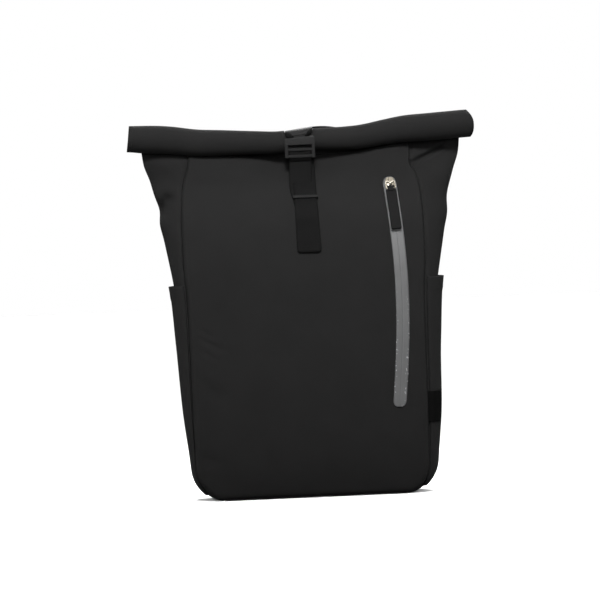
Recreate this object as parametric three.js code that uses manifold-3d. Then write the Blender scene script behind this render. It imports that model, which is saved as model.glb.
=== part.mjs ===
// A roll-top backpack that stands on its base, rolled and buckled.
// Millimetres, +Z up, front towards -Y, right towards +X.

import * as THREE from "three";
import { mergeVertices } from "three/addons/utils/BufferGeometryUtils.js";
import Module from "manifold-3d";

const wasm = await Module();
wasm.setup();

const { degToRad, lerp, smoothstep } = THREE.MathUtils;

// Cloth, webbing and the gaps between sewn pieces
const CLOTH = 1.4;
const BACK_PAD = 5;
const POCKET_CLOTH = 1.4;
const WEBBING = 1.3;
const WEBBING_WIDTH = 25;
const SEAM_GAP = 0.4;

// How far blocks run into each other where they are joined or cut
const PAST = 1;

// Body
const BASE_HALF = 105;
const CORNER_RISE = 36;
const TOP_Z = 392;
const SLOPE_Z = 330;
const SLOPE_STEPS = 10;
const BACK_COLLAR = { rise: 9, lean: 4 };
const BACK_CROWN = 2;
const BASE_INSET = { front: 6, back: 5 };
const ROW_STEP = 40;

// One row for each level of the body. Half widths: front seam, widest fold of the gusset, back seam.
// frontY and backY: the flat of each panel. crown: how far the front bulges past it. curl: radius of
// the turned edge. fold: 5 for a flat gusset, 1 for one folded to a sharp edge.
const LEVELS = [
  { z: 0, front: 131, side: 138, back: 136, frontY: -48, backY: 54, crown: 0, curl: 8, fold: 5 },
  { z: 36, front: 131.5, side: 139.5, back: 137, frontY: -55, backY: 58, crown: 4.5, curl: 8, fold: 5 },
  { z: 100, front: 132.5, side: 145.5, back: 138.5, frontY: -60, backY: 60, crown: 6, curl: 8, fold: 4.5 },
  { z: 180, front: 133, side: 149.5, back: 139.5, frontY: -61.5, backY: 60, crown: 6.5, curl: 8, fold: 4 },
  { z: 236, front: 134, side: 153, back: 140, frontY: -61, backY: 60, crown: 6, curl: 8, fold: 3.6 },
  { z: 264, front: 136, side: 155.5, back: 141, frontY: -59.5, backY: 60, crown: 5.5, curl: 8, fold: 3 },
  { z: 300, front: 136.5, side: 159.5, back: 142, frontY: -54, backY: 58, crown: 4.5, curl: 7.5, fold: 2.4 },
  { z: 318, front: 136.5, side: 163, back: 142, frontY: -49, backY: 55, crown: 4, curl: 7, fold: 2.1 },
  { z: 338, front: 135.5, side: 165, back: 141, frontY: -40, backY: 49, crown: 3, curl: 6, fold: 1.8 },
  { z: 360, front: 132.5, side: 171, back: 138, frontY: -26, backY: 36, crown: 1.5, curl: 4, fold: 1.35 },
  { z: 376, front: 127.5, side: 178, back: 133, frontY: -12.5, backY: 25, crown: 0.8, curl: 2.5, fold: 1.15 },
  { z: TOP_Z, front: 124, side: 180, back: 130, frontY: 2, backY: 14.5, crown: 0, curl: 2, fold: 1.06 },
];

// Soft dents in the gussets: where each is deepest and how far it reaches across and up
const GUSSET_DENTS = [
  { side: -1, turn: -0.3, z: 334, depth: 4, across: 0.5, up: 11 },
  { side: -1, turn: -0.45, z: 366, depth: 4, across: 0.3, up: 9 },
  { side: 1, turn: -0.6, z: 372, depth: 6, across: 0.25, up: 9 },
  { side: 1, turn: -0.2, z: 340, depth: 2.5, across: 0.5, up: 14 },
];

// Side pockets and the label sewn in the right front seam
const POCKET_TOP = 247;
const POCKET_GAPE = { most: 1.7, from: 40 };
const POCKET_HOLLOW = { turn: 0, z: 236, depth: 8.5, across: 0.36, up: 32 };
const LABEL = { bottom: 81, top: 116, reach: -0.62, thick: 1 };

// Rolled top: a spiral of cloth round a level axis that sags in the middle, where the strap grips it
const ROLL_RADIUS = 17.2;
const ROLL_CORE = 4;
const ROLL_TURNS = 3.2;
const ROLL_CLOTH = 2;
const ROLL_END_TURN = -35;
const ROLL_HALF = 198.5;
const ROLL_Y = -8;
const ROLL_Z = 405;
const ROLL_SAG = 14.5;
const ROLL_SAG_HALF = 190;
const ROLL_END_SLOPE = 0.045;
const ROLL_STATIONS = 18;
const ROLL_POINTS = 38;
const GRIP = { depth: 4.6, drop: 3, half: 20, fade: 44 };

// Zip on the right of the front
const ZIP = { x: 98, bow: 8, bottom: 100, top: 358, half: 7.6, endShare: 0.35, thick: 1.2, sliderZ: 351 };
const ZIP_STEPS = 14;
const SLIDER = { width: 10, top: 6.6, bottom: -4.6, thick: 3, corner: 3 };
const BRIDGE = { width: 3, wire: 1.4, eye: 3.5, bend: 1.2 };
const PULL_RING = { wire: 1.6, width: 9, length: 10, corner: 1, innerCorner: 0.4 };
const PULL_TAB = { width: 12, length: 49, thick: 2.2, wall: 1, corner: 1.2 };
const PULL_REST = 6.5;

// Buckle, measured along its bend round the roll and out from it
const BUCKLE_X = -2;
const GRIP_RADIUS = ROLL_RADIUS - GRIP.depth;
const GRIP_Z = ROLL_Z - GRIP.drop;
const BUCKLE_MIDDLE = 4;
const BUCKLE_BACK = 0.2;
const MALE = { half: 17.2, inner: 13.4, bottom: -12.6, plate: 1.6, top: 10.5, front: 7.6, round: 5 };
const FRONT_BAR = { back: 5.8, height: 3.2 };
const TONGUE = { half: 6.5, end: 25.5, back: 2.8, front: 5.2 };
const FEMALE = { start: 11.7, end: 33, waist: 8.6, half: 15.6, front: 6.4, slot: 27.2 };
const FLARE = { from: 1.5, to: 8 };
const FEMALE_BAR = { start: 30.2, back: 2.6, front: 4.6 };
const REAR_BAR = { at: -3.4, out: 2.9, half: 0.75 };
const BEND_STEP = 3;

// Straps, keeper and handle
const STRAP_SKEW = 0.045;
const STRAP_ANCHOR = { bottom: 318, top: 350 };
const STRAP_TAIL = { top: 306, bottom: 279 };
const STRAP_STEPS = 3;
const STRAP_LOOP = { radius: 1.9, steps: 6 };
const TOP_LOOP = { radius: 2.6, from: 20, to: 340, steps: 10 };
const TOP_STRAP_DOWN = { z: 338, steps: 7 };

// Where the top strap lies past the buckle: its sewn end, then its way over the roll to the back
const TOP_STRAP_END = { past: 9, out: 3.2 };
const TOP_STRAP_OVER = [
  { past: 6, out: 1.2 },
  { past: 12, out: 1.4 },
];
const KEEPER = { z: 342, height: 5, wall: 1.4, half: 14.5 };
const HANDLE = { thick: 2.4, front: 13, back: 33, foot: 362, steps: 22, footCut: 14 };
const HANDLE_PATH = [
  { x: -24, z: HANDLE.foot },
  { x: -23, z: 398 },
  { x: -12, z: 417 },
  { x: 8, z: 423 },
  { x: 36, z: 423 },
  { x: 56, z: 417 },
  { x: 67, z: 398 },
  { x: 68, z: HANDLE.foot },
];

// Shoulder straps: the outer face of the right one, from the back seam to the end of the padding
const SHOULDER = { half: 29, endHalf: 22, thick: 10, edgeShare: 0.65, steps: 18 };
const SHOULDER_START = { x: 40, z: 346, out: 1.2, up: 0.8 };
const SHOULDER_PATH = [
  { x: 41, y: 61, z: 356 },
  { x: 44, y: 79, z: 350 },
  { x: 50, y: 92, z: 323 },
  { x: 58, y: 99, z: 275 },
  { x: 67, y: 98, z: 215 },
  { x: 76, y: 90, z: 158 },
  { x: 82, y: 80, z: 122 },
];
const ADJUSTER = { half: 16, length: 26, thick: 4, bar: 4, slot: 5, webHalf: 11, corner: 2, slotCorner: 1 };
const ADJUSTER_PLACE = { below: 1, inShare: 0.6 };
const LOWER_WEB = { half: 10, behind: 1.6, lead: 4, footX: 117, footZ: 26, steps: 9 };
const LOWER_WEB_BOW = { share: 0.45, x: -3, y: 1, z: -4 };
const LOWER_WEB_REST = { x: -8, z: 18 };

// Colours and finishes
const FINISHES = {
  cloth: { color: 0x2b2b2c, roughness: 0.85, metalness: 0 },
  webbing: { color: 0x1d1d1e, roughness: 0.9, metalness: 0 },
  plastic: { color: 0x343436, roughness: 0.45, metalness: 0 },
  reflective: { color: 0x6f7071, roughness: 0.5, metalness: 0.2 },
  metal: { color: 0xd8d3c4, roughness: 0.3, metalness: 1 },
  rubber: { color: 0x131314, roughness: 0.7, metalness: 0 },
  label: { color: 0x101011, roughness: 0.8, metalness: 0 },
};

// A smooth curve through every column of a table
function tableCurve(rows, along) {
  const columns = Object.keys(rows[0]).filter((name) => name !== along);
  const places = rows.map((row) => row[along]);
  const values = rows.flatMap((row) => columns.map((name) => row[name]));
  const curve = new THREE.CubicInterpolant(places, values, columns.length);
  return (place) => {
    const found = curve.evaluate(place);
    return Object.fromEntries(columns.map((name, index) => [name, found[index]]));
  };
}

const levelAt = tableCurve(LEVELS, "z");

// How far the top of the bag rises from its sagging middle
function rollRise(x) {
  const share = Math.min(Math.abs(x), ROLL_SAG_HALF) / ROLL_SAG_HALF;
  return (ROLL_SAG / 2) * (1 - Math.cos(Math.PI * share));
}

function lift(x, z) {
  return rollRise(x) * smoothstep(z, SLOPE_Z, TOP_Z);
}

// The share of its full half width that a round lower corner has reached at height z
function cornerShare(z) {
  const drop = Math.max(0, 1 - z / CORNER_RISE);
  return Math.sqrt(1 - drop * drop);
}

// The distance of a panel's point from its outline, measured as round as the lower corner
function edgeDistance(x, z, half) {
  const out = Math.max(0, Math.abs(x) - BASE_HALF) / (half - BASE_HALF);
  const down = Math.max(0, 1 - z / CORNER_RISE);
  return Math.max(0, CORNER_RISE * (1 - Math.hypot(out, down)));
}

// How far a panel is turned back at a distance from its outline
function curlBack(distance, radius) {
  const inside = Math.max(0, radius - distance);
  return radius - Math.sqrt(radius * radius - inside * inside);
}

function frontAt(x, z) {
  const level = levelAt(z);
  const crown = level.crown * (1 - (x / level.front) ** 2);
  const y = level.frontY - crown + curlBack(edgeDistance(x, z, level.front), level.curl);
  return new THREE.Vector3(x, y, z + lift(x, z));
}

// The back stands higher than the front and leans towards the roll
function collarShare(z) {
  return smoothstep(z, LEVELS.at(-2).z, TOP_Z);
}

function backAt(x, z) {
  const level = levelAt(z);
  const crown = BACK_CROWN * (1 - (x / level.back) ** 2);
  const y = level.backY + crown - curlBack(edgeDistance(x, z, level.back), level.curl);
  const lean = BACK_COLLAR.lean * collarShare(z) * (1 - (x / level.back) ** 4);
  return new THREE.Vector3(x, y - lean, z + lift(x, z) + BACK_COLLAR.rise * collarShare(z));
}

// A panel's place across: up to 1 over the flat base, from 1 to 2 out to the seam
function acrossX(across, z, half) {
  const beyond = Math.max(0, Math.abs(across) - 1);
  const flat = Math.abs(across) - beyond;
  return Math.sign(across) * (flat * BASE_HALF + beyond * (half - BASE_HALF) * cornerShare(z));
}

function frontSurface(across, z) {
  return frontAt(acrossX(across, z, levelAt(z).front), z);
}

function backSurface(across, z) {
  return backAt(acrossX(across, z, levelAt(z).back), z);
}

function dentDepth(dent, turn, z) {
  const across = (turn - dent.turn) / dent.across;
  const up = (z - dent.z) / dent.up;
  return dent.depth * Math.exp(-across * across - up * up);
}

function gussetDent(side, turn, z) {
  const dents = GUSSET_DENTS.filter((dent) => dent.side === side);
  return dents.reduce((sum, dent) => sum + dentDepth(dent, turn, z), 0);
}

// A place on the bag's side: turn is -1 at the front seam and 1 at the back seam
function sideSurface(side, turn, z) {
  const level = levelAt(z);
  const share = (turn + 1) / 2;
  const swell = level.side - (level.front + level.back) / 2;
  const half = lerp(level.front, level.back, share)
    + swell * (1 - Math.abs(turn) ** level.fold) - gussetDent(side, turn, z);
  const x = side * (BASE_HALF + (half - BASE_HALF) * cornerShare(z));
  const frontSeam = level.frontY + level.curl + SEAM_GAP;
  const backSeam = level.backY - level.curl - SEAM_GAP;
  const collar = BACK_COLLAR.rise * collarShare(z) * smoothstep(turn, -1, 1);
  return new THREE.Vector3(x, lerp(frontSeam, backSeam, share), z + lift(x, z) + collar);
}

// The gusset itself is hollowed behind the pocket's mouth
function gussetSurface(side, turn, z) {
  const point = sideSurface(side, turn, z);
  point.x -= side * dentDepth(POCKET_HOLLOW, turn, z);
  return point;
}

// Evenly spaced numbers, both ends among them
function spaced(from, to, steps) {
  return Array.from({ length: steps + 1 }, (_, index) => lerp(from, to, index / steps));
}

// Rows up the body: round the lower corner, then through the levels
function bodyRows(cornerTurns) {
  const corner = cornerTurns.map((turn) => CORNER_RISE * (1 - Math.cos(degToRad(turn))));
  const levels = LEVELS.filter((row) => row.z >= CORNER_RISE).map((row) => row.z);
  const rows = levels.slice(1).flatMap((z, index) => {
    const from = levels[index];
    const steps = Math.ceil((z - from) / ROW_STEP);
    return Array.from({ length: steps }, (_, step) => lerp(from, z, (step + 1) / steps));
  });
  return [...corner, ...rows];
}

const PANEL_ROWS = bodyRows([10, 20, 30, 40, 58, 74, 90]);
const GUSSET_ROWS = bodyRows([0, 10, 20, 30, 40, 58, 74, 90]);
const POCKET_ROWS = [...bodyRows([40, 58, 74, 90]).filter((z) => z < POCKET_TOP), POCKET_TOP];

// Columns across a panel, close together where its edge curls
const CURL_COLUMNS = [90, 60, 30, 0].map((turn) => {
  return 2 - (LEVELS[0].curl / CORNER_RISE) * (1 - Math.cos(degToRad(turn)));
});
const PANEL_HALF_COLUMNS = [1 / 3, 2 / 3, 1, 1.4, ...CURL_COLUMNS];
const PANEL_COLUMNS = [...PANEL_HALF_COLUMNS.map((a) => -a).reverse(), 0, ...PANEL_HALF_COLUMNS];
const POCKET_TURNS = [-0.94, -0.8, -0.62, -0.4, 0, 0.4, 0.62, 0.8, 0.94];
const GUSSET_TURNS = [-1, -0.2, 0.2, 1, ...POCKET_TURNS].sort((a, b) => a - b);

function welded(geometry) {
  geometry.deleteAttribute("normal");
  geometry.deleteAttribute("uv");
  const joined = mergeVertices(geometry, 1e-3);
  joined.computeVertexNormals();
  return joined;
}

// The way out of a surface, from small steps along its columns and its rows
function outward(surface, columns, rows, a, b) {
  const stepped = (stations, at, share) => {
    const low = Math.min(stations[0], stations.at(-1));
    const high = Math.max(stations[0], stations.at(-1));
    return THREE.MathUtils.clamp(at + share * (stations.at(-1) - stations[0]), low, high);
  };
  const step = 1e-4;
  const alongColumns = surface(stepped(columns, a, step), b).sub(surface(stepped(columns, a, -step), b));
  const alongRows = surface(a, stepped(rows, b, step)).sub(surface(a, stepped(rows, b, -step)));
  return alongColumns.cross(alongRows).normalize();
}

// A closed wall over a surface: a box of stations, set out from the surface and thickened inwards
function wall(surface, columns, rows, thickness, out = () => 0) {
  const geometry = new THREE.BoxGeometry(1, 1, 1, columns.length - 1, rows.length - 1, 1);
  const position = geometry.getAttribute("position");
  for (let index = 0; index < position.count; index++) {
    const a = columns[Math.round((position.getX(index) + 0.5) * (columns.length - 1))];
    const b = rows[Math.round((position.getY(index) + 0.5) * (rows.length - 1))];
    const depth = position.getZ(index) > 0 ? 0 : thickness(a, b);
    const normal = outward(surface, columns, rows, a, b);
    const point = surface(a, b).addScaledVector(normal, out(a, b) - depth);
    position.setXYZ(index, point.x, point.y, point.z);
  }
  return welded(geometry);
}

// An outline in a plane, drawn out evenly to both sides of it
function prism(outline, width, steps = 1) {
  const options = { depth: width, steps, bevelEnabled: false };
  return new THREE.ExtrudeGeometry(new THREE.Shape(outline), options).translate(0, 0, -width / 2);
}

// A band of even thickness along a path in a plane
function ribbon(path, thickness, width, steps = 1) {
  const sides = path.map((point, index) => {
    const before = path[Math.max(0, index - 1)];
    const after = path[Math.min(path.length - 1, index + 1)];
    const along = after.clone().sub(before).normalize();
    const across = new THREE.Vector2(-along.y, along.x).multiplyScalar(thickness / 2);
    return { left: point.clone().add(across), right: point.clone().sub(across) };
  });
  const outline = [...sides.map((side) => side.left), ...sides.map((side) => side.right).reverse()];
  return prism(outline, width, steps);
}

// Stands a ribbon drawn in y and z upright, with its width along x
function sideways(geometry) {
  const axes = new THREE.Matrix4().makeBasis(
    new THREE.Vector3(0, 1, 0), new THREE.Vector3(0, 0, 1), new THREE.Vector3(1, 0, 0));
  return geometry.applyMatrix4(axes);
}

function eachVertex(geometry, move) {
  const position = geometry.getAttribute("position");
  const point = new THREE.Vector3();
  for (let index = 0; index < position.count; index++) {
    move(point.fromBufferAttribute(position, index));
    position.setXYZ(index, point.x, point.y, point.z);
  }
  return geometry;
}

function toSolid(geometry) {
  const clean = geometry.index && !geometry.getAttribute("uv") ? geometry : welded(geometry);
  return new wasm.Manifold(new wasm.Mesh({
    numProp: 3,
    vertProperties: new Float32Array(clean.getAttribute("position").array),
    triVerts: new Uint32Array(clean.index.array),
  }));
}

function toGeometry(solid) {
  const mesh = solid.getMesh();
  const geometry = new THREE.BufferGeometry();
  geometry.setAttribute("position", new THREE.BufferAttribute(mesh.vertProperties, mesh.numProp));
  geometry.setIndex(new THREE.BufferAttribute(mesh.triVerts, 1));
  geometry.computeVertexNormals();
  return geometry;
}

function joined(geometries) {
  return geometries.map(toSolid).reduce((whole, next) => whole.add(next));
}

function cut(solid, geometries) {
  return geometries.map(toSolid).reduce((whole, next) => whole.subtract(next), solid);
}

function roundedRectangle(width, bottom, top, radius, Kind = THREE.Shape) {
  const half = width / 2;
  const shape = new Kind();
  shape.absarc(half - radius, bottom + radius, radius, -Math.PI / 2, 0);
  shape.absarc(half - radius, top - radius, radius, 0, Math.PI / 2);
  shape.absarc(radius - half, top - radius, radius, Math.PI / 2, Math.PI);
  shape.absarc(radius - half, bottom + radius, radius, Math.PI, Math.PI * 1.5);
  return shape;
}

// Body panels
function frontPanel() {
  return wall(frontSurface, PANEL_COLUMNS, PANEL_ROWS, () => CLOTH);
}

function backPanel() {
  const thickness = (_, z) => lerp(BACK_PAD, CLOTH, smoothstep(z, SLOPE_Z, LEVELS.at(-2).z));
  return wall(backSurface, [...PANEL_COLUMNS].reverse(), PANEL_ROWS, thickness);
}

function sideTurns(side, turns) {
  return side > 0 ? turns : [...turns].reverse();
}

function gusset(side) {
  const surface = (turn, z) => gussetSurface(side, turn, z);
  return wall(surface, sideTurns(side, GUSSET_TURNS), GUSSET_ROWS, () => CLOTH);
}

// How far a pocket's outer face stands out from the bag's side
function pocketOut(turn, z) {
  const gape = POCKET_GAPE.most * (1 - turn ** 4) * smoothstep(z, POCKET_GAPE.from, POCKET_TOP);
  return SEAM_GAP + POCKET_CLOTH + gape;
}

function sidePocket(side) {
  const surface = (turn, z) => sideSurface(side, turn, z);
  return wall(surface, sideTurns(side, POCKET_TURNS), POCKET_ROWS, () => POCKET_CLOTH, pocketOut);
}

function sideLabel() {
  const surface = (turn, z) => sideSurface(1, turn, z);
  const turns = POCKET_TURNS.filter((turn) => turn <= LABEL.reach);
  const between = POCKET_ROWS.filter((z) => z > LABEL.bottom && z < LABEL.top);
  const rows = [LABEL.bottom, ...between, LABEL.top];
  const out = (turn, z) => pocketOut(turn, z) + SEAM_GAP + LABEL.thick;
  return wall(surface, turns, rows, () => LABEL.thick, out);
}

// The base lies between the gussets' lower ends and the curled feet of the two panels
function basePanel() {
  const front = LEVELS[0].frontY + BASE_INSET.front;
  const back = LEVELS[0].backY - BASE_INSET.back;
  const width = 2 * (BASE_HALF - SEAM_GAP);
  return new THREE.BoxGeometry(width, back - front, CLOTH).translate(0, (front + back) / 2, CLOTH / 2);
}

// Rolled top
function rollTop() {
  const path = Array.from({ length: ROLL_POINTS + 1 }, (_, index) => {
    const share = index / ROLL_POINTS;
    const radius = lerp(ROLL_CORE, ROLL_RADIUS - ROLL_CLOTH / 2, share);
    const turn = degToRad(ROLL_END_TURN) + (1 - share) * ROLL_TURNS * 2 * Math.PI;
    return new THREE.Vector2(radius * Math.cos(turn), radius * Math.sin(turn));
  });
  const roll = sideways(ribbon(path, ROLL_CLOTH, 2 * ROLL_HALF, ROLL_STATIONS));
  eachVertex(roll, (point) => {
    const gripped = 1 - smoothstep(Math.abs(point.x - BUCKLE_X), GRIP.half, GRIP.fade);
    const grip = 1 - (GRIP.depth / ROLL_RADIUS) * gripped;
    const above = Math.max(0, point.z / ROLL_RADIUS);
    point.x *= 1 - ROLL_END_SLOPE * above * above;
    point.y = ROLL_Y + point.y * grip;
    point.z = ROLL_Z + point.z * grip + rollRise(point.x) - GRIP.drop * gripped;
  });
  return welded(roll);
}

// Zip
function zipX(z) {
  const share = (z - ZIP.bottom) / (ZIP.top - ZIP.bottom);
  return ZIP.x + ZIP.bow * Math.sin(Math.PI * THREE.MathUtils.clamp(share, 0, 1));
}

function zipSurface(across, z) {
  const fromEnd = Math.min(z - ZIP.bottom, ZIP.top - z);
  const inside = Math.max(0, 1 - fromEnd / ZIP.half);
  const half = ZIP.half * lerp(ZIP.endShare, 1, Math.sqrt(1 - inside * inside));
  return frontAt(zipX(z) + across * half, z);
}

function zipTape() {
  const rounds = [0, ZIP.half / 4];
  const rows = [
    ...rounds.map((round) => ZIP.bottom + round),
    ...spaced(ZIP.bottom + ZIP.half, ZIP.top - ZIP.half, ZIP_STEPS),
    ...rounds.map((round) => ZIP.top - round).reverse(),
  ];
  return wall(zipSurface, [-1, 0, 1], rows, () => ZIP.thick, () => ZIP.thick + SEAM_GAP);
}

// The slider's own frame on the tape: x across, y up the tape, z out of it
function sliderFrame() {
  const step = 1;
  const z = ZIP.sliderZ;
  const up = zipSurface(0, z + step).sub(zipSurface(0, z - step)).normalize();
  const side = zipSurface(1, z).sub(zipSurface(-1, z)).normalize();
  const out = side.clone().cross(up).normalize();
  const frame = new THREE.Group();
  frame.quaternion.setFromRotationMatrix(new THREE.Matrix4().makeBasis(up.clone().cross(out), up, out));
  frame.position.copy(zipSurface(0, z)).addScaledVector(out, ZIP.thick + 2 * SEAM_GAP);
  return frame;
}

const PIVOT_OUT = SLIDER.thick + BRIDGE.eye / 2;

function zipSlider() {
  const bodyShape = roundedRectangle(SLIDER.width, SLIDER.bottom, SLIDER.top, SLIDER.corner);
  const body = new THREE.ExtrudeGeometry(bodyShape, {
    depth: SLIDER.thick,
    bevelEnabled: false,
    curveSegments: 4,
  });
  const { width, wire, eye, bend } = BRIDGE;
  const height = SLIDER.thick + eye + wire / 2;
  const rising = [[-eye, SLIDER.thick / 2], [-eye, height - bend], [bend - eye, height]];
  const falling = rising.map(([along, out]) => [-along, out]).reverse();
  const bridgePath = [...rising, ...falling].map(([along, out]) => new THREE.Vector2(along, out));
  const bridge = sideways(ribbon(bridgePath, wire, width));
  return toGeometry(joined([body, bridge]));
}

// The ring hangs from the middle of the bridge's eye, which is the origin of the pull
function pullLink() {
  const { wire, width, length, corner, innerCorner } = PULL_RING;
  const top = wire / 2;
  const shape = roundedRectangle(width, top - length, top, corner);
  const hole = roundedRectangle(width - 2 * wire, wire + top - length, -top, innerCorner, THREE.Path);
  shape.holes.push(hole);
  const ring = new THREE.ExtrudeGeometry(shape, { depth: wire, bevelEnabled: false, curveSegments: 2 });
  return welded(ring.translate(0, 0, -wire / 2));
}

function pullTab() {
  const { width, length, thick, wall: around, corner } = PULL_TAB;
  const barY = PULL_RING.wire - PULL_RING.length;
  const bore = PULL_RING.wire + 2 * SEAM_GAP;
  const neckWidth = PULL_RING.width - 2 * PULL_RING.wire - 4 * SEAM_GAP;
  const neckThick = bore + 2 * around;
  const tabTop = barY - PULL_RING.wire;
  const neck = new THREE.BoxGeometry(neckWidth, neckThick + 2 * around, neckThick);
  neck.translate(0, barY - around, 0);
  const tabShape = roundedRectangle(width, tabTop - length, tabTop, corner);
  const tabOptions = { depth: thick, bevelEnabled: false, curveSegments: 3 };
  const tab = new THREE.ExtrudeGeometry(tabShape, tabOptions).translate(0, 0, -thick / 2);
  const hole = new THREE.BoxGeometry(PULL_RING.width, bore, bore).translate(0, barY, 0);
  return toGeometry(cut(joined([tab, neck]), [hole]));
}

// A place on the buckle: along its bend over the roll, and out from the gripped roll
function overRoll(x, along, out) {
  const radius = GRIP_RADIUS + out;
  const turn = Math.max(0, along) / (GRIP_RADIUS + BUCKLE_MIDDLE);
  const y = ROLL_Y - radius * Math.cos(turn);
  const z = GRIP_Z + radius * Math.sin(turn) + Math.min(0, along);
  return new THREE.Vector3(x, y, z);
}

// A bent block of the buckle: its half width may change along the bend
function bentBlock(halfAt, along, out, at = 0) {
  const steps = Math.max(2, Math.ceil((along[1] - along[0]) / BEND_STEP));
  const block = new THREE.BoxGeometry(2, 1, 1, 1, steps, 1).translate(0, 0.5, 0.5);
  eachVertex(block, (point) => {
    const place = lerp(along[0], along[1], point.y);
    point.copy(overRoll(BUCKLE_X + at + point.x * halfAt(place), place, lerp(out[0], out[1], point.z)));
  });
  return block;
}

function even(half) {
  return () => half;
}

function buckleMale() {
  const { half, inner, bottom, plate, top, front, round } = MALE;
  const shoulder = (along) => {
    const upper = Math.max(0, (along - top / 2) / (top / 2));
    return half - round * (1 - Math.sqrt(1 - upper * upper));
  };
  const depth = [BUCKLE_BACK, front];
  const railAt = (half + inner) / 2;
  const rail = even((half - inner) / 2);
  const bar = even((half + inner) / 2);
  const { back, height } = FRONT_BAR;
  const { at, out, half: barHalf } = REAR_BAR;
  return toGeometry(joined([
    bentBlock(shoulder, [plate, top], depth),
    bentBlock(rail, [bottom, plate + PAST], depth, railAt),
    bentBlock(rail, [bottom, plate + PAST], depth, -railAt),
    bentBlock(bar, [bottom, bottom + height], [back, front]),
    bentBlock(bar, [at - height / 2, at + height / 2], [back, front]),
    bentBlock(bar, [at - barHalf, at + barHalf], [out - barHalf, out + barHalf]),
    bentBlock(even(TONGUE.half), [top - PAST, TONGUE.end], [TONGUE.back, TONGUE.front]),
  ]));
}

function buckleFemale() {
  const { start, end, waist, half, front, slot } = FEMALE;
  const outline = (along) => lerp(waist, half, smoothstep(along, start + FLARE.from, start + FLARE.to));
  const hollow = even(TONGUE.half + SEAM_GAP);
  const slotHalf = even(MALE.inner);
  const { start: bar, back: barBack, front: barFront } = FEMALE_BAR;
  const block = bentBlock(outline, [start, end], [BUCKLE_BACK, front]);
  return toGeometry(cut(toSolid(block), [
    bentBlock(hollow, [start - PAST, TONGUE.end + PAST], [TONGUE.back - SEAM_GAP, TONGUE.front + SEAM_GAP]),
    bentBlock(slotHalf, [slot, bar], [BUCKLE_BACK - PAST, front + PAST]),
    bentBlock(slotHalf, [bar - PAST, end + PAST], [BUCKLE_BACK - PAST, barBack]),
    bentBlock(slotHalf, [bar - PAST, end + PAST], [barFront, front + PAST]),
  ]));
}

// Straps: their routes are drawn in y and z and given the webbing's width
function sideView(point) {
  return new THREE.Vector2(point.y, point.z);
}

function offPanel(panelAt, z, out, x = 0) {
  const step = 0.5;
  const up = panelAt(x, z + step).sub(panelAt(x, z - step)).normalize();
  const away = panelAt === frontAt ? new THREE.Vector3(0, -up.z, up.y) : new THREE.Vector3(0, up.z, -up.y);
  return sideView(panelAt(x, z).addScaledVector(away, out));
}

function frontStrap() {
  const under = SEAM_GAP + WEBBING / 2;
  const over = under + WEBBING + SEAM_GAP;
  const { radius, steps } = STRAP_LOOP;
  const start = MALE.bottom - PAST;
  const arc = spaced(180, 0, steps).map((turn) => {
    const out = REAR_BAR.out + radius * Math.cos(degToRad(turn));
    return sideView(overRoll(0, REAR_BAR.at + radius * Math.sin(degToRad(turn)), out));
  });
  const up = spaced(STRAP_ANCHOR.bottom, STRAP_ANCHOR.top, STRAP_STEPS);
  const tail = spaced(STRAP_TAIL.top, STRAP_TAIL.bottom, STRAP_STEPS);
  const path = [
    ...up.map((z) => offPanel(frontAt, z, under)),
    sideView(overRoll(0, start, REAR_BAR.out - radius)),
    ...arc,
    sideView(overRoll(0, start, REAR_BAR.out + radius)),
    ...up.map((z) => offPanel(frontAt, z, over)).reverse(),
    ...tail.map((z) => offPanel(frontAt, z, under)),
  ];
  const strap = sideways(ribbon(path, WEBBING, WEBBING_WIDTH));
  eachVertex(strap, (point) => {
    point.x += BUCKLE_X + STRAP_SKEW * Math.max(0, GRIP_Z + MALE.bottom - point.z);
  });
  return welded(strap);
}

// A low bridge over both layers of the strap, sewn down at its two ends
function strapKeeper() {
  const { z, height, wall: thick, half } = KEEPER;
  const hollow = 2 * WEBBING + 3 * SEAM_GAP;
  const outer = new THREE.BoxGeometry(2 * half, hollow + thick, height);
  const inner = new THREE.BoxGeometry(2 * (half - thick), hollow + thick, height + PAST);
  const bridge = toGeometry(cut(toSolid(outer), [inner.translate(0, thick, 0)]));
  const middle = offPanel(frontAt, z, SEAM_GAP + (hollow + thick) / 2);
  const below = offPanel(frontAt, z - height, SEAM_GAP + (hollow + thick) / 2);
  bridge.rotateX(-Math.atan2(middle.x - below.x, middle.y - below.y));
  return bridge.translate(BUCKLE_X + STRAP_SKEW * (GRIP_Z + MALE.bottom - z), middle.x, middle.y);
}

function topStrap() {
  const { radius, from, to, steps } = TOP_LOOP;
  const barAlong = (FEMALE_BAR.start + FEMALE.end) / 2;
  const barOut = (FEMALE_BAR.back + FEMALE_BAR.front) / 2;
  const arc = spaced(from, to, steps).map((turn) => {
    const along = barAlong + radius * Math.cos(degToRad(turn));
    return sideView(overRoll(0, along, barOut + radius * Math.sin(degToRad(turn))));
  });
  const beyond = ({ past, out }) => sideView(overRoll(0, FEMALE.end + past, out));
  const off = 3 * SEAM_GAP + WEBBING / 2;
  const down = spaced(TOP_Z, TOP_STRAP_DOWN.z, TOP_STRAP_DOWN.steps);
  const path = [
    beyond(TOP_STRAP_END),
    ...arc,
    ...TOP_STRAP_OVER.map(beyond),
    ...down.map((z) => offPanel(backAt, z, off)),
  ];
  return welded(sideways(ribbon(path, WEBBING, WEBBING_WIDTH)).translate(BUCKLE_X, 0, 0));
}

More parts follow.
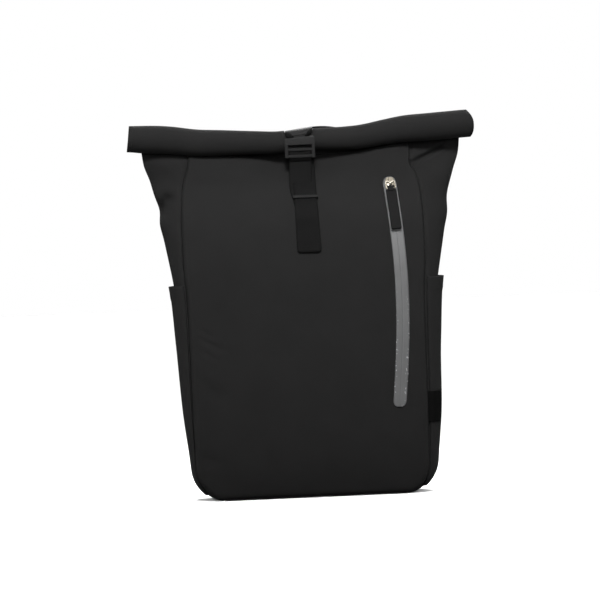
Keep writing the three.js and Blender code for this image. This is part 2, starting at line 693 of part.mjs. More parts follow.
// The handle is an arch of webbing, cut to stand on the slope of the back
function grabHandle() {
  const curve = new THREE.SplineCurve(HANDLE_PATH.map(({ x, z }) => new THREE.Vector2(x, z)));
  const arch = ribbon(curve.getPoints(HANDLE.steps), HANDLE.thick, HANDLE.back - HANDLE.front);
  arch.rotateX(Math.PI / 2).translate(0, (HANDLE.front + HANDLE.back) / 2, 0);
  const feet = [HANDLE_PATH[0].x, HANDLE_PATH.at(-1).x];
  return toGeometry(cut(toSolid(arch), feet.map(backSlope)));
}

// The bag's sloping back as a block round one foot of the handle
function backSlope(x) {
  const slope = spaced(SLOPE_Z, TOP_Z, SLOPE_STEPS).map((z) => offPanel(backAt, z, 2 * SEAM_GAP, x));
  const inside = [slope.at(-1), slope[0]].map((point) => new THREE.Vector2(ROLL_Y, point.y));
  const block = prism([...slope, ...inside], HANDLE.footCut);
  return sideways(block).translate(x, 0, 0);
}

// Shoulder strap, its adjuster and the webbing to the lower corner, all on the right
function acrossStrap(tangent) {
  const side = new THREE.Vector3(1, 0, 0);
  return side.addScaledVector(tangent, -tangent.x).normalize();
}

const shoulderCurve = new THREE.CatmullRomCurve3([
  backAt(SHOULDER_START.x, SHOULDER_START.z).add(new THREE.Vector3(0, SHOULDER_START.out, SHOULDER_START.up)),
  ...SHOULDER_PATH.map(({ x, y, z }) => new THREE.Vector3(x, y, z)),
]);

function stripSurface(curve, halfAt) {
  return (across, share) => {
    const side = acrossStrap(curve.getTangent(share)).multiplyScalar(across * halfAt(share));
    return curve.getPoint(share).add(side);
  };
}

function shoulderStrap() {
  const surface = stripSurface(shoulderCurve, (share) => lerp(SHOULDER.half, SHOULDER.endHalf, share));
  const thickness = (across) => SHOULDER.thick * lerp(1, SHOULDER.edgeShare, across ** 4);
  return wall(surface, [-1, -0.8, 0, 0.8, 1], spaced(0, 1, SHOULDER.steps), thickness);
}

// The way on from the lower end of the padding
const strapEnd = shoulderCurve.getPoint(1);
const strapEndWay = shoulderCurve.getTangent(1);

function strapAdjuster() {
  const { half, length, thick, bar, slot, webHalf, corner, slotCorner } = ADJUSTER;
  const shape = roundedRectangle(2 * half, -length, 0, corner);
  const slots = [-bar, -(2 * bar + slot)];
  slots.forEach((top) => {
    shape.holes.push(roundedRectangle(2 * webHalf, top - slot, top, slotCorner, THREE.Path));
  });
  const frame = new THREE.ExtrudeGeometry(shape, { depth: thick, bevelEnabled: false, curveSegments: 2 });
  const up = strapEndWay.clone().negate();
  const side = acrossStrap(strapEndWay);
  const out = side.clone().cross(up).negate();
  const place = new THREE.Matrix4().makeBasis(side.negate(), up, out);
  const { below, inShare } = ADJUSTER_PLACE;
  const endCorner = strapEnd.clone().addScaledVector(up, -below);
  place.setPosition(endCorner.addScaledVector(out, -SHOULDER.thick * inShare));
  return welded(frame.applyMatrix4(place));
}

function strapWebbing() {
  const { half, behind, lead, footX, footZ, steps } = LOWER_WEB;
  const { share, x, y, z } = LOWER_WEB_BOW;
  const rise = new THREE.Vector3(0, WEBBING + 2 * SEAM_GAP, 0);
  const inner = new THREE.Vector3(0, -SHOULDER.thick - behind, 0);
  const start = strapEnd.clone().add(inner).addScaledVector(strapEndWay, lead);
  const foot = backAt(footX, footZ).add(rise);
  const curve = new THREE.CatmullRomCurve3([
    start,
    start.clone().lerp(foot, share).add(new THREE.Vector3(x, y, z)),
    backAt(footX + LOWER_WEB_REST.x, footZ + LOWER_WEB_REST.z).add(rise),
    foot,
  ]);
  return wall(stripSurface(curve, even(half)), [-1, 1], spaced(0, 1, steps), () => WEBBING);
}

// Assembly
function piece(name, geometry, finish) {
  const mesh = new THREE.Mesh(geometry, new THREE.MeshStandardMaterial(FINISHES[finish]));
  mesh.name = name;
  return mesh;
}

const bag = new THREE.Group();
bag.add(
  piece("front_panel", frontPanel(), "cloth"),
  piece("back_panel", backPanel(), "cloth"),
  piece("base_panel", basePanel(), "cloth"),
  piece("roll_top", rollTop(), "cloth"),
  piece("side_label", sideLabel(), "label"),
  piece("zip_tape", zipTape(), "reflective"),
  piece("buckle_male", buckleMale(), "plastic"),
  piece("buckle_female", buckleFemale(), "plastic"),
  piece("front_strap", frontStrap(), "webbing"),
  piece("strap_keeper", strapKeeper(), "plastic"),
  piece("top_strap", topStrap(), "webbing"),
  piece("grab_handle", grabHandle(), "webbing"),
);

for (const [name, side] of [["left", -1], ["right", 1]]) {
  const carrying = [
    piece(`shoulder_strap_${name}`, shoulderStrap(), "cloth"),
    piece(`strap_adjuster_${name}`, strapAdjuster(), "plastic"),
    piece(`strap_webbing_${name}`, strapWebbing(), "webbing"),
  ];
  carrying.forEach((mesh) => mesh.scale.setX(side));
  bag.add(
    piece(`gusset_${name}`, gusset(side), "cloth"),
    piece(`side_pocket_${name}`, sidePocket(side), "cloth"),
    ...carrying,
  );
}

const pull = new THREE.Group();
pull.position.z = PIVOT_OUT;
pull.rotation.x = degToRad(PULL_REST);
pull.add(piece("pull_link", pullLink(), "metal"), piece("pull_tab", pullTab(), "rubber"));

const slider = sliderFrame();
slider.add(piece("zip_slider", zipSlider(), "metal"), pull);
bag.add(slider);

// The origin is on the floor under the middle of the whole bag
const box = new THREE.Box3().setFromObject(bag);
const middle = box.getCenter(new THREE.Vector3());
bag.position.set(-middle.x, -middle.y, -box.min.z);

const backpack = new THREE.Group();
backpack.add(bag);

export default backpack;
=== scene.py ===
"""The looks of a roll-top backpack: its cloth, webbing, buckle, zip and padding."""

import math
from bisect import bisect_right
from functools import lru_cache
from types import SimpleNamespace

import bmesh
import bpy
from mathutils import Matrix, Vector, kdtree, noise


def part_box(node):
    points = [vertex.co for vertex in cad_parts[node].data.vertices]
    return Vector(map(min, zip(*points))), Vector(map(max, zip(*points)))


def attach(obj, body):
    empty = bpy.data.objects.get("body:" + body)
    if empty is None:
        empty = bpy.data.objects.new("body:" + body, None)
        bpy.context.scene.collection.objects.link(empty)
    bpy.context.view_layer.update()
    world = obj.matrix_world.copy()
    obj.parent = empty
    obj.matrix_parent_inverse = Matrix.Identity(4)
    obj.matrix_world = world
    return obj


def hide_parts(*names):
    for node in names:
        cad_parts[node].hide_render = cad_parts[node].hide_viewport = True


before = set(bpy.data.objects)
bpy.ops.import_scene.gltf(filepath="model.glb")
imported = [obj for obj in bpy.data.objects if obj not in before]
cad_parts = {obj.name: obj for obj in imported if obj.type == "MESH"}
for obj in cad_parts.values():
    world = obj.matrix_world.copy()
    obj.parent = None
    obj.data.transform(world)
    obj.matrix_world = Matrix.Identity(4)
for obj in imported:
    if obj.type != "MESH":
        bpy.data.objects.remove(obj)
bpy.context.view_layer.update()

# Sizes are in millimetres, in the bag's own frame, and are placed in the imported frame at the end
MM = 0.001
SIDES = {"left": -1, "right": 1}

# A small step along a surface or path, as a share of it
STEP = 1e-3

# Cloth, webbing and the gaps between sewn pieces
CLOTH = 1.4
WEBBING = 1.3
WEBBING_WIDTH = 25.6
GAP = 0.4

# Body
BASE_HALF = 105
CORNER_RISE = 36
TOP_Z = 392
SLOPE_Z = 330
COLLAR = SimpleNamespace(start=372, rise=12, clear=1.4, turn=0.35)
BACK_CROWN = 2
BACK_PAD = 5
BASE = SimpleNamespace(front=-42, back=49)
LOWEST_TURN = 10

# Share of a panel's rows that lie round the lower corner
CORNER_SHARE = 0.12

# One row for each level of the body. Half widths: front seam, widest fold of the gusset, back seam.
# front_y and back_y: the flat of each panel. crown: how far the front bulges past it. curl: radius of
# the turned edge. fold: 5 for a flat gusset, 1 for one folded to a sharp edge.
LEVEL_COLUMNS = ("front", "side", "back", "front_y", "back_y", "crown", "curl", "fold")
LEVELS = {
    0: (131, 138, 136, -44, 54, 0, 8, 5),
    36: (131.5, 139.5, 137, -52, 58, 4.5, 8, 5),
    100: (132.5, 145.5, 138.5, -59, 60, 6, 8, 4.5),
    180: (133, 149.5, 139.5, -61.5, 60, 6.5, 8, 4),
    236: (134, 153, 140, -61, 60, 6, 8, 3.6),
    264: (136, 157, 141, -59.5, 60, 5.5, 8, 3),
    300: (136.5, 161.5, 142, -54, 58, 4.5, 7.5, 2.4),
    318: (136.5, 165.5, 142, -49, 55, 4, 8, 2.1),
    338: (135.5, 168, 141, -40, 49, 3, 7, 1.8),
    360: (132.5, 174, 138, -26, 36, 1.5, 5.5, 1.35),
    376: (127.5, 181, 133, -12.5, 25, 0.8, 4, 1.15),
    TOP_Z: (124, 184, 130, 2, 14.5, 0, 3, 1.06),
}

# Soft dents in the gussets: where each is deepest and how far it reaches across and up
DENT_COLUMNS = ("side", "turn", "z", "depth", "across", "up")
GUSSET_DENTS = (
    (-1, -0.3, 334, 4, 0.5, 11),
    (-1, -0.45, 366, 4, 0.3, 9),
    (1, -0.6, 372, 6, 0.25, 9),
    (1, -0.2, 340, 2.5, 0.5, 14),
    (-1, 0, 236, 8.5, 0.36, 32),
    (1, 0, 236, 8.5, 0.36, 32),
)

# Faint creases in the front: middle, the way they run in degrees, length, width and depth
CREASE_COLUMNS = ("x", "z", "turn", "length", "width", "depth")
FRONT_CREASES = (
    (-112, 179, -29, 18, 3.2, 2.1),
    (-118, 192, -30, 11, 2.8, 1.5),
    (-117, 168, -33, 10, 3, 1.4),
    (-114, 127, -42, 18, 8, 2.2),
    (-122, 48, -20, 12, 7, 1.8),
    (70, 60, -30, 40, 7, 0.5),
    (-60, 345, 12, 40, 6, 0.7),
    (52, 352, -10, 36, 6, 0.6),
)
FRONT_SWELL = SimpleNamespace(depth=0.9, reach=85)

# Seam: how deep both edges are tucked in, and how far from the seam that starts
SEAM_TUCK = SimpleNamespace(depth=4.4, reach=3, turn=0.045)

# Front seam: how far it is moved out on each side, and where a fold pinches the right one in
SEAM_OUT = {-1: 5, 1: -1}
SEAM_PINCH = SimpleNamespace(side=1, z=369, depth=5, up=8)

# The right side is fuller than the left one low down
FULL_SIDE = SimpleNamespace(side=1, out=3, start=70, end=170)

# How far the top of the body is pressed back behind the roll, along the roll
RECESS_Z = SimpleNamespace(start=356, deepest=385, back=0.4)
RECESS = {
    -200: -8, -160: -9.5, -125: -9, -90: -8.5, -62: -7.5, -40: 0, -22: 8, 0: 10, 20: 7,
    42: 1, 62: -5, 85: -8, 105: -6, 122: -2, 150: 0, 200: 2,
}

# Sharp folds in the gussets, as lines seen from the front
FOLD_COLUMNS = ("side", "x", "z", "end_x", "end_z", "width", "depth")
GUSSET_FOLDS = (
    (1, 126, 377, 162, 394, 2.2, 7),
    (-1, 155, 346, 163, 332, 7, 8),
)

# Where across a gusset, from -1 at its front seam to 1 at its back seam, the recess and the folds fade
GUSSET_FADE = SimpleNamespace(recess=0.4, fold_start=-0.3, fold_end=0.1)

# Side pockets and the label sewn in the right front seam
POCKET_TOP = 247
POCKET_EDGE = 0.94
POCKET_LOWEST_TURN = 40
POCKET_GAPE = SimpleNamespace(most=1.7, start=40)
POCKET_HEM = SimpleNamespace(height=16, step=0.5, rows=(0.945, 0.955), ends=(0.02, 0.98))
LABEL = SimpleNamespace(bottom=81, top=116, seam=-0.985, reach=-0.62, thick=1, lean=0.8)

# Rolled top
ROLL = SimpleNamespace(radius=17.2, core=4, turns=3.2, cloth=2, end_turn=-35, half=198.5, y=-8, z=405)
ROLL_RISE = {
    -200: 12, -162: 10.6, -146: 9, -118: 4.6, -88: 2.4, -50: -0.4, -28: -1.8, 0: 0, 50: 0.8,
    68: 2.2, 97: 7.6, 118: 11, 142: 12.6, 172: 14.2, 200: 15.2,
}
ROLL_LUMPS = SimpleNamespace(depth=0.035, reach=60)

# Where the buckle grips the roll: how much it is squeezed and lowered, and how its top is raised and tilted
GRIP = SimpleNamespace(depth=4.6, drop=4.2, half=15, fade=16.6, tall=1.1, tilt=0.13)

# Ends of the roll: the left one slants out downwards, and the right one is round
ROLL_END = SimpleNamespace(start=178, slant=2.2, reach=-0.5, lift=2, top=10, bottom=9)
ROLL_SLIM = SimpleNamespace(middle=3.2, end=-1.2, reach=155)

# Zip on the right of the front
ZIP = SimpleNamespace(x=98, bow=8, bottom=100, top=358, half=7.6, slider_z=351, end_share=0.35)
TAPE = SimpleNamespace(out=0.9, thick=0.6, edge=0.5, edge_share=0.08, line=0.25, line_share=0.03)
SLIDER = SimpleNamespace(width=10, top=6.6, bottom=-4.6, thick=3, corner=3, out=2.3, edge=0.6)
BRIDGE = SimpleNamespace(width=3, wire=1.4, eye=3.5, leg_edge=0.3, arch_edge=0.45)
PULL_RING = SimpleNamespace(wire=1.8, width=12, length=10, corner=1.8)
PULL_TAB = SimpleNamespace(width=12, length=49, thick=2.2, wall=1, corner=1.2, edge=0.4)
TAB_ROOT = SimpleNamespace(depth=2, edge=0.3)
PULL_REST = 6.5

# Buckle, measured along its bend round the roll and out from it
BUCKLE_X = -2
GRIP_RADIUS = ROLL.radius - GRIP.depth
GRIP_Z = ROLL.z - GRIP.drop
BUCKLE_MIDDLE = 4
BUCKLE_BACK = 0.2
BUCKLE_EDGE = SimpleNamespace(frame=0.9, socket=0.8, bar=0.6)
BEND_STEP = 1
MALE = SimpleNamespace(half=17.2, inner=13.4, bottom=-12.6, plate=1.6, top=10.5, front=7.6, round=5)
FRONT_BAR = SimpleNamespace(back=5.6, height=3.2, inset=0.1, overlap=1)
REAR_BAR = SimpleNamespace(at=-3.4, out=2.9, half=0.75)
TONGUE = SimpleNamespace(half=6.5, end=25.5, back=2.8, front=5.2)
FEMALE = SimpleNamespace(start=11.7, end=33, waist=8.6, half=15.6, front=6.4, slot=27.2, bar=30.6, rim=0.84)
FLARE = SimpleNamespace(start=1.5, end=8)
FEMALE_BAR = SimpleNamespace(half=13.6, back=2.6, front=4.6)

# Mouldings: edges sharper than this are rounded, and look hard where they still turn by more than that
SOFT_ANGLE = 30
HARD_ANGLE = 35

# How near a corner a moulding's vertex is taken to be at it
NEAR = 0.01

# Straps, keeper and handle
STRAP_SKEW = 0.02
STRAP_SHIFT = 2.6
STRAP_SETTLE = 10
STRAP_DIP = SimpleNamespace(y=-19.5, z=380)
STRAP_ANCHOR = (318, 329, 339, 350)
STRAP_TAIL = (306, 297, 289, 280.5)
STRAP_LOOP = 1.9

# The layer under the keeper is moved sideways, from this far below it to this far above it
UNDER = SimpleNamespace(shift=-4, below=8, above=6)

# The strap's tail widens along its share of the strap, its fold is narrower, and its hem is turned up
TAIL = SimpleNamespace(spread=2, start=0.6, end=0.95, depth=5, reach=0.008)
TAIL_HEM = SimpleNamespace(fold=0.9, rises=(0, 5, 9), search=0.8, stitch=0.7)

# Top strap: its loop round the socket's bar, and places past the socket's end and out from the gripped roll
TOP_LOOP = SimpleNamespace(radius=2.6, out=3.6, start=20, end=340)
TOP_STRAP_START = (9, 3.2)
TOP_STRAP_OVER = ((6, 1.2), (12, 1.4))
TOP_STRAP_END_Z = 338
KEEPER = SimpleNamespace(z=341, height=3.6, wall=1.4, half=14.2, inset=0.1, edge=0.5)
HANDLE = SimpleNamespace(thick=2.4, front=13, back=33, foot=362, clear=1.2, rise=1)
HANDLE_PATH = (
    (-24, 362), (-23, 396), (-13, 414.6), (6, 421.4),
    (38, 421.4), (57, 414.6), (67, 396), (68, 362),
)

# Shoulder straps: the outer face of the right one, from the back seam to the end of the padding
SHOULDER = SimpleNamespace(half=29, end_half=22, thick=10, edge=2.4, slack=0.8, hem=0.085, end=0.03)
SHOULDER_ROUND = SimpleNamespace(across=0.7, thick=0.55)
PADDING = SimpleNamespace(columns=48, rows=96, pressure=4, spare=0.02, frames=20, cap=2.2)
SHOULDER_PATH = (
    (40, 45.8, 348),
    (41, 61, 356),
    (44, 79, 350),
    (50, 92, 323),
    (58, 99, 275),
    (67, 98, 215),
    (76, 90, 158),
    (82, 80, 122),
)
ADJUSTER = SimpleNamespace(half=16, length=26, thick=4, bar=4, slot=5, web_half=11, below=1, inward=6)
ADJUSTER_ROUND = SimpleNamespace(corner=2, edge=0.7)
LOWER_WEB = SimpleNamespace(half=10, foot_x=117, foot_z=26, behind=2.2, lead=4)
LOWER_WEB_BOW = SimpleNamespace(share=0.45, move=(-3, 0.4, -4))
LOWER_WEB_REST = SimpleNamespace(x=-8, z=18)

# Sewing thread, and where rows of it run across a strap and along two of the straps
STITCH = SimpleNamespace(length=2.4, pitch=3.2, radius=0.22, samples=40)
STITCH_ENDS = (0.1, 0.9)
TOP_STITCHES = (0.93, 0.98)
LOWER_STITCHES = (0.9, 0.97)

# Photograph: how the camera stands to the bag
CAMERA = SimpleNamespace(distance=6000, yaw=2, lift=1, roll=2.4, aim_x=-7.6, aim_z=224.8, frame_width=691)

# Soft lights: name, place in metres, size, power, spread in degrees and the height that each faces
LIGHTS = (
    ("front", (-0.05, -2, 2), 0.9, 7.2, 20, 0.49),
    ("fill", (-0.1, -2.4, 0.75), 0.8, 0.9, 16, 0.36),
    ("back", (0.3, 2.1, 1.9), 0.9, 9, 30, 0.34),
    ("side", (-2.1, 0.35, 1.5), 0.9, 1.9, 30, 0.3),
    ("side", (2.1, 0.35, 1.5), 0.9, 1.9, 30, 0.3),
)
OVERHEAD = SimpleNamespace(power=2.6, width=45, tilt=-12)

# The floor's grey to the camera, and the darker one with which it lights the bag
FLOOR = SimpleNamespace(half=12, seen=0.92, given=0.28, rough=0.9)


def lerp(start, end, share):
    """The number a share of the way from start to end."""
    return start + (end - start) * share


def smoothstep(value, low, high):
    """0 up to low, 1 from high, and an even S between them."""
    share = min(max((value - low) / (high - low), 0), 1)
    return share * share * (3 - 2 * share)


def spaced(start, end, steps):
    """Evenly spaced numbers, both ends among them."""
    return [lerp(start, end, step / steps) for step in range(steps + 1)]


def smooth_through(places, rows):
    """A function of place: smooth curves through every column of rows."""
    last = len(rows) - 2

    def chord(index, column):
        index = min(max(index, 0), last)
        rise = rows[index + 1][column] - rows[index][column]
        return rise / (places[index + 1] - places[index])

    def at(place):
        index = min(max(bisect_right(places, place) - 1, 0), last)
        span = places[index + 1] - places[index]
        share = (place - places[index]) / span
        found = []
        for column, (low, high) in enumerate(zip(rows[index], rows[index + 1])):
            here = chord(index, column)
            start = (chord(index - 1, column) + here) / 2 * span
            end = (here + chord(index + 1, column)) / 2 * span
            eased = share * share * (3 - 2 * share)
            value = lerp(low, high, eased)
            value += start * share * (1 - share) ** 2
            value -= end * share ** 2 * (1 - share)
            found.append(value)
        return found

    return at


def table_curve(table):
    """A function of place: one smooth curve through a table's values."""
    at = smooth_through(list(table), [(value,) for value in table.values()])
    return lambda place: at(place)[0]


def named(columns, row):
    """A row of a table with its columns' names."""
    return SimpleNamespace(**dict(zip(columns, row)))


def path_lengths(points):
    """The length of a path up to each of its points."""
    lengths = [0]
    for before, after in zip(points, points[1:]):
        lengths.append(lengths[-1] + (after - before).length)
    return lengths


def smooth_path(points):
    """A function from 0 to 1 along a smooth curve through the points."""
    points = [Vector(point) for point in points]
    places = path_lengths(points)
    at = smooth_through(places, points)
    return lambda share: Vector(at(share * places[-1]))


body_curves = smooth_through(list(LEVELS), list(LEVELS.values()))


@lru_cache(maxsize=None)
def level_at(z):
    """The body's sizes at a height."""
    return named(LEVEL_COLUMNS, body_curves(z))


# How far the top of the bag rises from its sagging middle, and how far it is pressed back, at a place across
roll_rise = table_curve(ROLL_RISE)
recess_depth = table_curve(RECESS)


def roll_slim(x):
    """How much thinner the roll is than at its thickest."""
    return lerp(ROLL_SLIM.middle, ROLL_SLIM.end, smoothstep(abs(x), 0, ROLL_SLIM.reach))


def lift(x, z):
    """How far the sloping top follows the roll up."""
    return roll_rise(x) * smoothstep(z, SLOPE_Z, TOP_Z)


def corner_share(z):
    """The share of its full half width that a round lower corner has reached."""
    drop = max(0, 1 - z / CORNER_RISE)
    return math.sqrt(1 - drop * drop)


def edge_distance(x, z, half):
    """The distance of a panel's point from its outline, measured as round as the lower corner."""
    out = max(0, abs(x) - BASE_HALF) / (half - BASE_HALF)
    down = max(0, 1 - z / CORNER_RISE)
    return max(0, CORNER_RISE * (1 - math.hypot(out, down)))


def curl_back(distance, radius):
    """How far a panel is turned back at a distance from its outline."""
    inside = max(0, radius - distance)
    return radius - math.sqrt(radius * radius - inside * inside)


def front_half(side, z):
    """The front seam's distance from the middle, on one side."""
    pinch = SEAM_PINCH.depth * math.exp(-(((z - SEAM_PINCH.z) / SEAM_PINCH.up) ** 2))
    upper = smoothstep(z, 0, CORNER_RISE)
    return level_at(z).front + SEAM_OUT[side] * upper - pinch * (side == SEAM_PINCH.side)


def recess(x, z):
    """How far a place near the top is pressed back behind the roll."""
    back = RECESS_Z.back * smoothstep(z, RECESS_Z.deepest, TOP_Z)
    return recess_depth(x) * (smoothstep(z, RECESS_Z.start, RECESS_Z.deepest) - back)


def fold_depth(side, point):
    """How deep the sharp folds of a gusset are at a place."""
    depth = 0
    for row in GUSSET_FOLDS:
        fold = named(FOLD_COLUMNS, row)
        if fold.side == side:
            start = Vector((side * fold.x, fold.z))
            way = Vector((side * fold.end_x, fold.end_z)) - start
            here = point.xz - start
            share = min(max(here.dot(way) / way.length_squared, 0), 1)
            off = (here - way * share).length / fold.width
            depth += fold.depth * math.exp(-off * off)
    return depth


def crease_depth(x, z):
    """How deep the front's creases are at a place."""
    depth = 0
    for row in FRONT_CREASES:
        crease = named(CREASE_COLUMNS, row)
        turn = math.radians(crease.turn)
        along = (x - crease.x) * math.cos(turn) + (z - crease.z) * math.sin(turn)
        across = (z - crease.z) * math.cos(turn) - (x - crease.x) * math.sin(turn)
        depth += crease.depth * math.exp(-((along / crease.length) ** 2) - (across / crease.width) ** 2)
    return depth


def front_at(x, z):
    """A place on the front panel."""
    level = level_at(z)
    half = front_half(1 if x > 0 else -1, z)
    distance = edge_distance(x, z, half)
    crown = level.crown * (1 - (x / half) ** 2)
    swell = FRONT_SWELL.depth * noise.noise(Vector((x, 0, z)) / FRONT_SWELL.reach)
    y = level.front_y - crown + curl_back(distance, level.curl)
    eased = smoothstep(distance, 0, CORNER_RISE / 2)
    tuck = SEAM_TUCK.depth * (1 - smoothstep(distance, 0, SEAM_TUCK.reach))
    y += eased * (swell + crease_depth(x, z)) + recess(x, z) + tuck
    return Vector((x, y, z + lift(x, z)))


def collar_share(z):
    """How much of the collar's rise and lean a height has."""
    return smoothstep(z, COLLAR.start, TOP_Z)


def behind_roll(x):
    """How far back the collar lies where it joins the roll."""
    return ROLL.y + ROLL.radius - roll_slim(x) + COLLAR.clear


def back_at(x, z):
    """A place on the back panel, which stands higher than the front and leans towards the roll."""
    level = level_at(z)
    crown = BACK_CROWN * (1 - (x / level.back) ** 2)
    y = level.back_y + crown - curl_back(edge_distance(x, z, level.back), level.curl)
    collar = collar_share(z)
    return Vector((x, lerp(y, behind_roll(x), collar), z + lift(x, z) + COLLAR.rise * collar))


def across_x(across, z, half):
    """A panel's place across: up to 1 over the flat base, from 1 to 2 out to the seam."""
    beyond = max(0, abs(across) - 1)
    flat = abs(across) - beyond
    return math.copysign(flat * BASE_HALF + beyond * (half - BASE_HALF) * corner_share(z), across)


def dent_depth(side, turn, z, dents):
    """How deep the dents are at a place on a gusset."""
    depth = 0
    for row in dents:
        dent = named(DENT_COLUMNS, row)
        if dent.side == side:
            across = (turn - dent.turn) / dent.across
            up = (z - dent.z) / dent.up
            depth += dent.depth * math.exp(-across * across - up * up)
    return depth


def side_at(side, turn, z, dents=GUSSET_DENTS):
    """A place on the bag's side: turn is -1 at the front seam and 1 at the back seam."""
    level = level_at(z)
    share = (turn + 1) / 2
    front = front_half(side, z)
    swell = level.side - (front + level.back) / 2
    half = lerp(front, level.back, share) + swell * (1 - abs(turn) ** level.fold)
    half -= dent_depth(side, turn, z, dents)
    if side == FULL_SIDE.side:
        half += FULL_SIDE.out * (1 - turn * turn) * (1 - smoothstep(z, FULL_SIDE.start, FULL_SIDE.end))
    x = side * (BASE_HALF + (half - BASE_HALF) * corner_share(z))
    front_seam = level.front_y + level.curl + GAP
    back_seam = level.back_y - level.curl - GAP
    collar = collar_share(z) * smoothstep(turn, -COLLAR.turn, COLLAR.turn)
    y = lerp(lerp(front_seam, back_seam, share), behind_roll(x), collar)
    point = Vector((x, y, z + lift(x, z) + COLLAR.rise * collar))
    away_from_back = 1 - smoothstep(turn, GUSSET_FADE.recess, 1)
    near_front = 1 - smoothstep(turn, GUSSET_FADE.fold_start, GUSSET_FADE.fold_end)
    point.y += recess(x, z) * away_from_back + fold_depth(side, point) * near_front
    for seam in (-1, 1):
        tuck = SEAM_TUCK.depth * corner_share(z) * math.exp(-(((turn - seam) / SEAM_TUCK.turn) ** 2))
        point += Vector((-side, -seam, 0)) * tuck
    return point


def body_z(share, top=TOP_Z, lowest=LOWEST_TURN):
    """A height for a share of the way up: close together round the lower corner."""
    if share < CORNER_SHARE:
        turn = lerp(lowest, 90, share / CORNER_SHARE)
        return CORNER_RISE * (1 - math.cos(math.radians(turn)))
    return lerp(CORNER_RISE, top, (share - CORNER_SHARE) / (1 - CORNER_SHARE))


def outward(surface, a, b):
    """The way out of a surface at a place, from small steps along it."""
    along = surface(min(a + STEP, 1), b) - surface(max(a - STEP, 0), b)
    up = surface(a, min(b + STEP, 1)) - surface(a, max(b - STEP, 0))
    return along.cross(up).normalized()


def raised(surface, out):
    """A surface moved outwards by out(a, b)."""
    return lambda a, b: surface(a, b) + outward(surface, a, b) * out(a, b)


base_low, base_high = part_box("base_panel")
BAG_Y = (base_low.y + base_high.y) / 2 / MM - (BASE.front + BASE.back) / 2


def placed(point):
    """A place on the bag, in millimetres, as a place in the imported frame, in metres."""
    return Vector((point.x, point.y + BAG_Y, point.z)) * MM


def draped(surface, columns, rows):
    """A mesh of columns by rows faces laid on surface(a, b), with a UV map in metres."""
    mesh = bmesh.new()
    bmesh.ops.create_grid(mesh, x_segments=columns, y_segments=rows, size=0.5)
    station = mesh.verts.layers.float_vector.new("station")
    for vertex in mesh.verts:
        vertex[station] = vertex.co + Vector((0.5, 0.5, 0))
        vertex.co = placed(surface(vertex[station].x, vertex[station].y))
    across = path_lengths([placed(surface(a, 0.5)) for a in spaced(0, 1, columns)])
    along = path_lengths([placed(surface(0.5, b)) for b in spaced(0, 1, rows)])
    uv = mesh.loops.layers.uv.new("cloth")
    for face in mesh.faces:
        face.smooth = True
        for loop in face.loops:
            place = loop.vert[station]
            loop[uv].uv = (across[round(place.x * columns)], along[round(place.y * rows)])
    mesh.verts.layers.float_vector.remove(station)
    return mesh


def lofted(surface, columns, rows, ring=False):
    """A closed tube: columns round it and rows along it, its ends filled unless they meet."""
    mesh = draped(surface, columns, rows)
    bmesh.ops.remove_doubles(mesh, verts=mesh.verts, dist=1e-6)
    if not ring:
        ends = [edge for edge in mesh.edges if edge.is_boundary]
        bmesh.ops.holes_fill(mesh, edges=ends)
    bmesh.ops.recalc_face_normals(mesh, faces=mesh.faces)
    return mesh


def strap_face(path, width):
    """The surface of a flat strap along a path, as wide along x as width says at each share of it."""
    return lambda a, b: path(b) + Vector(((a - 0.5) * width(b), 0, 0))


def softened(mesh, width):
    """Rounds the sharp edges of a moulded shape."""
    sharp = [edge for edge in mesh.edges if len(edge.link_faces) == 2
             and edge.calc_face_angle() > math.radians(SOFT_ANGLE)]
    bmesh.ops.bevel(mesh, geom=sharp, offset=width, segments=3, profile=0.5,
                    affect="EDGES", material=-1, clamp_overlap=True)
    return mesh


def moulded(place, columns, rows, thickness, holes=(), round_corners=0):
    """A flat moulding of cells, less its holes, in millimetres: x across, y along, z out."""
    mesh = bmesh.new()
    bmesh.ops.create_grid(mesh, x_segments=columns, y_segments=rows, size=0.5)
    empty = []
    for face in mesh.faces:
        middle = face.calc_center_median() + Vector((0.5, 0.5, 0))
        if (int(middle.x * columns), int(middle.y * rows)) in holes:
            empty.append(face)
    for vertex in mesh.verts:
        vertex.co = place(round((vertex.co.x + 0.5) * columns), round((vertex.co.y + 0.5) * rows))
    bmesh.ops.delete(mesh, geom=empty, context="FACES")
    if round_corners:
        corners = [vertex for vertex in mesh.verts if len(vertex.link_faces) == 1]
        bmesh.ops.bevel(mesh, geom=corners, offset=round_corners, segments=4, profile=0.5,
                        affect="VERTICES", material=-1)
    bottom = mesh.faces[:]
    lifted = bmesh.ops.extrude_face_region(mesh, geom=bottom, use_keep_orig=True)
    top = [item for item in lifted["geom"] if isinstance(item, bmesh.types.BMVert)]
    bmesh.ops.translate(mesh, verts=top, vec=(0, 0, thickness))
    bmesh.ops.recalc_face_normals(mesh, faces=mesh.faces)
    bmesh.ops.dissolve_limit(mesh, angle_limit=math.radians(1), verts=mesh.verts, edges=mesh.edges)
    return mesh


def block(low, high):
    """A plain block of a moulding between two corners, in millimetres."""
    lines = list(zip(low, high))
    return moulded(lambda i, j: Vector((lines[0][i], lines[1][j], low[2])), 1, 1, high[2] - low[2])


def bent(mesh):
    """Bends a moulding over the gripped roll: its y runs along the bend and its z out of it."""
    low = min(vertex.co.y for vertex in mesh.verts)
    high = max(vertex.co.y for vertex in mesh.verts)
    for cut in spaced(low, high, max(2, round((high - low) / BEND_STEP)))[1:-1]:
        everything = mesh.verts[:] + mesh.edges[:] + mesh.faces[:]
        bmesh.ops.bisect_plane(mesh, geom=everything, plane_co=(0, cut, 0), plane_no=(0, 1, 0))
    for vertex in mesh.verts:
        vertex.co = over_roll(vertex.co.x + BUCKLE_X, vertex.co.y, vertex.co.z)
    return mesh


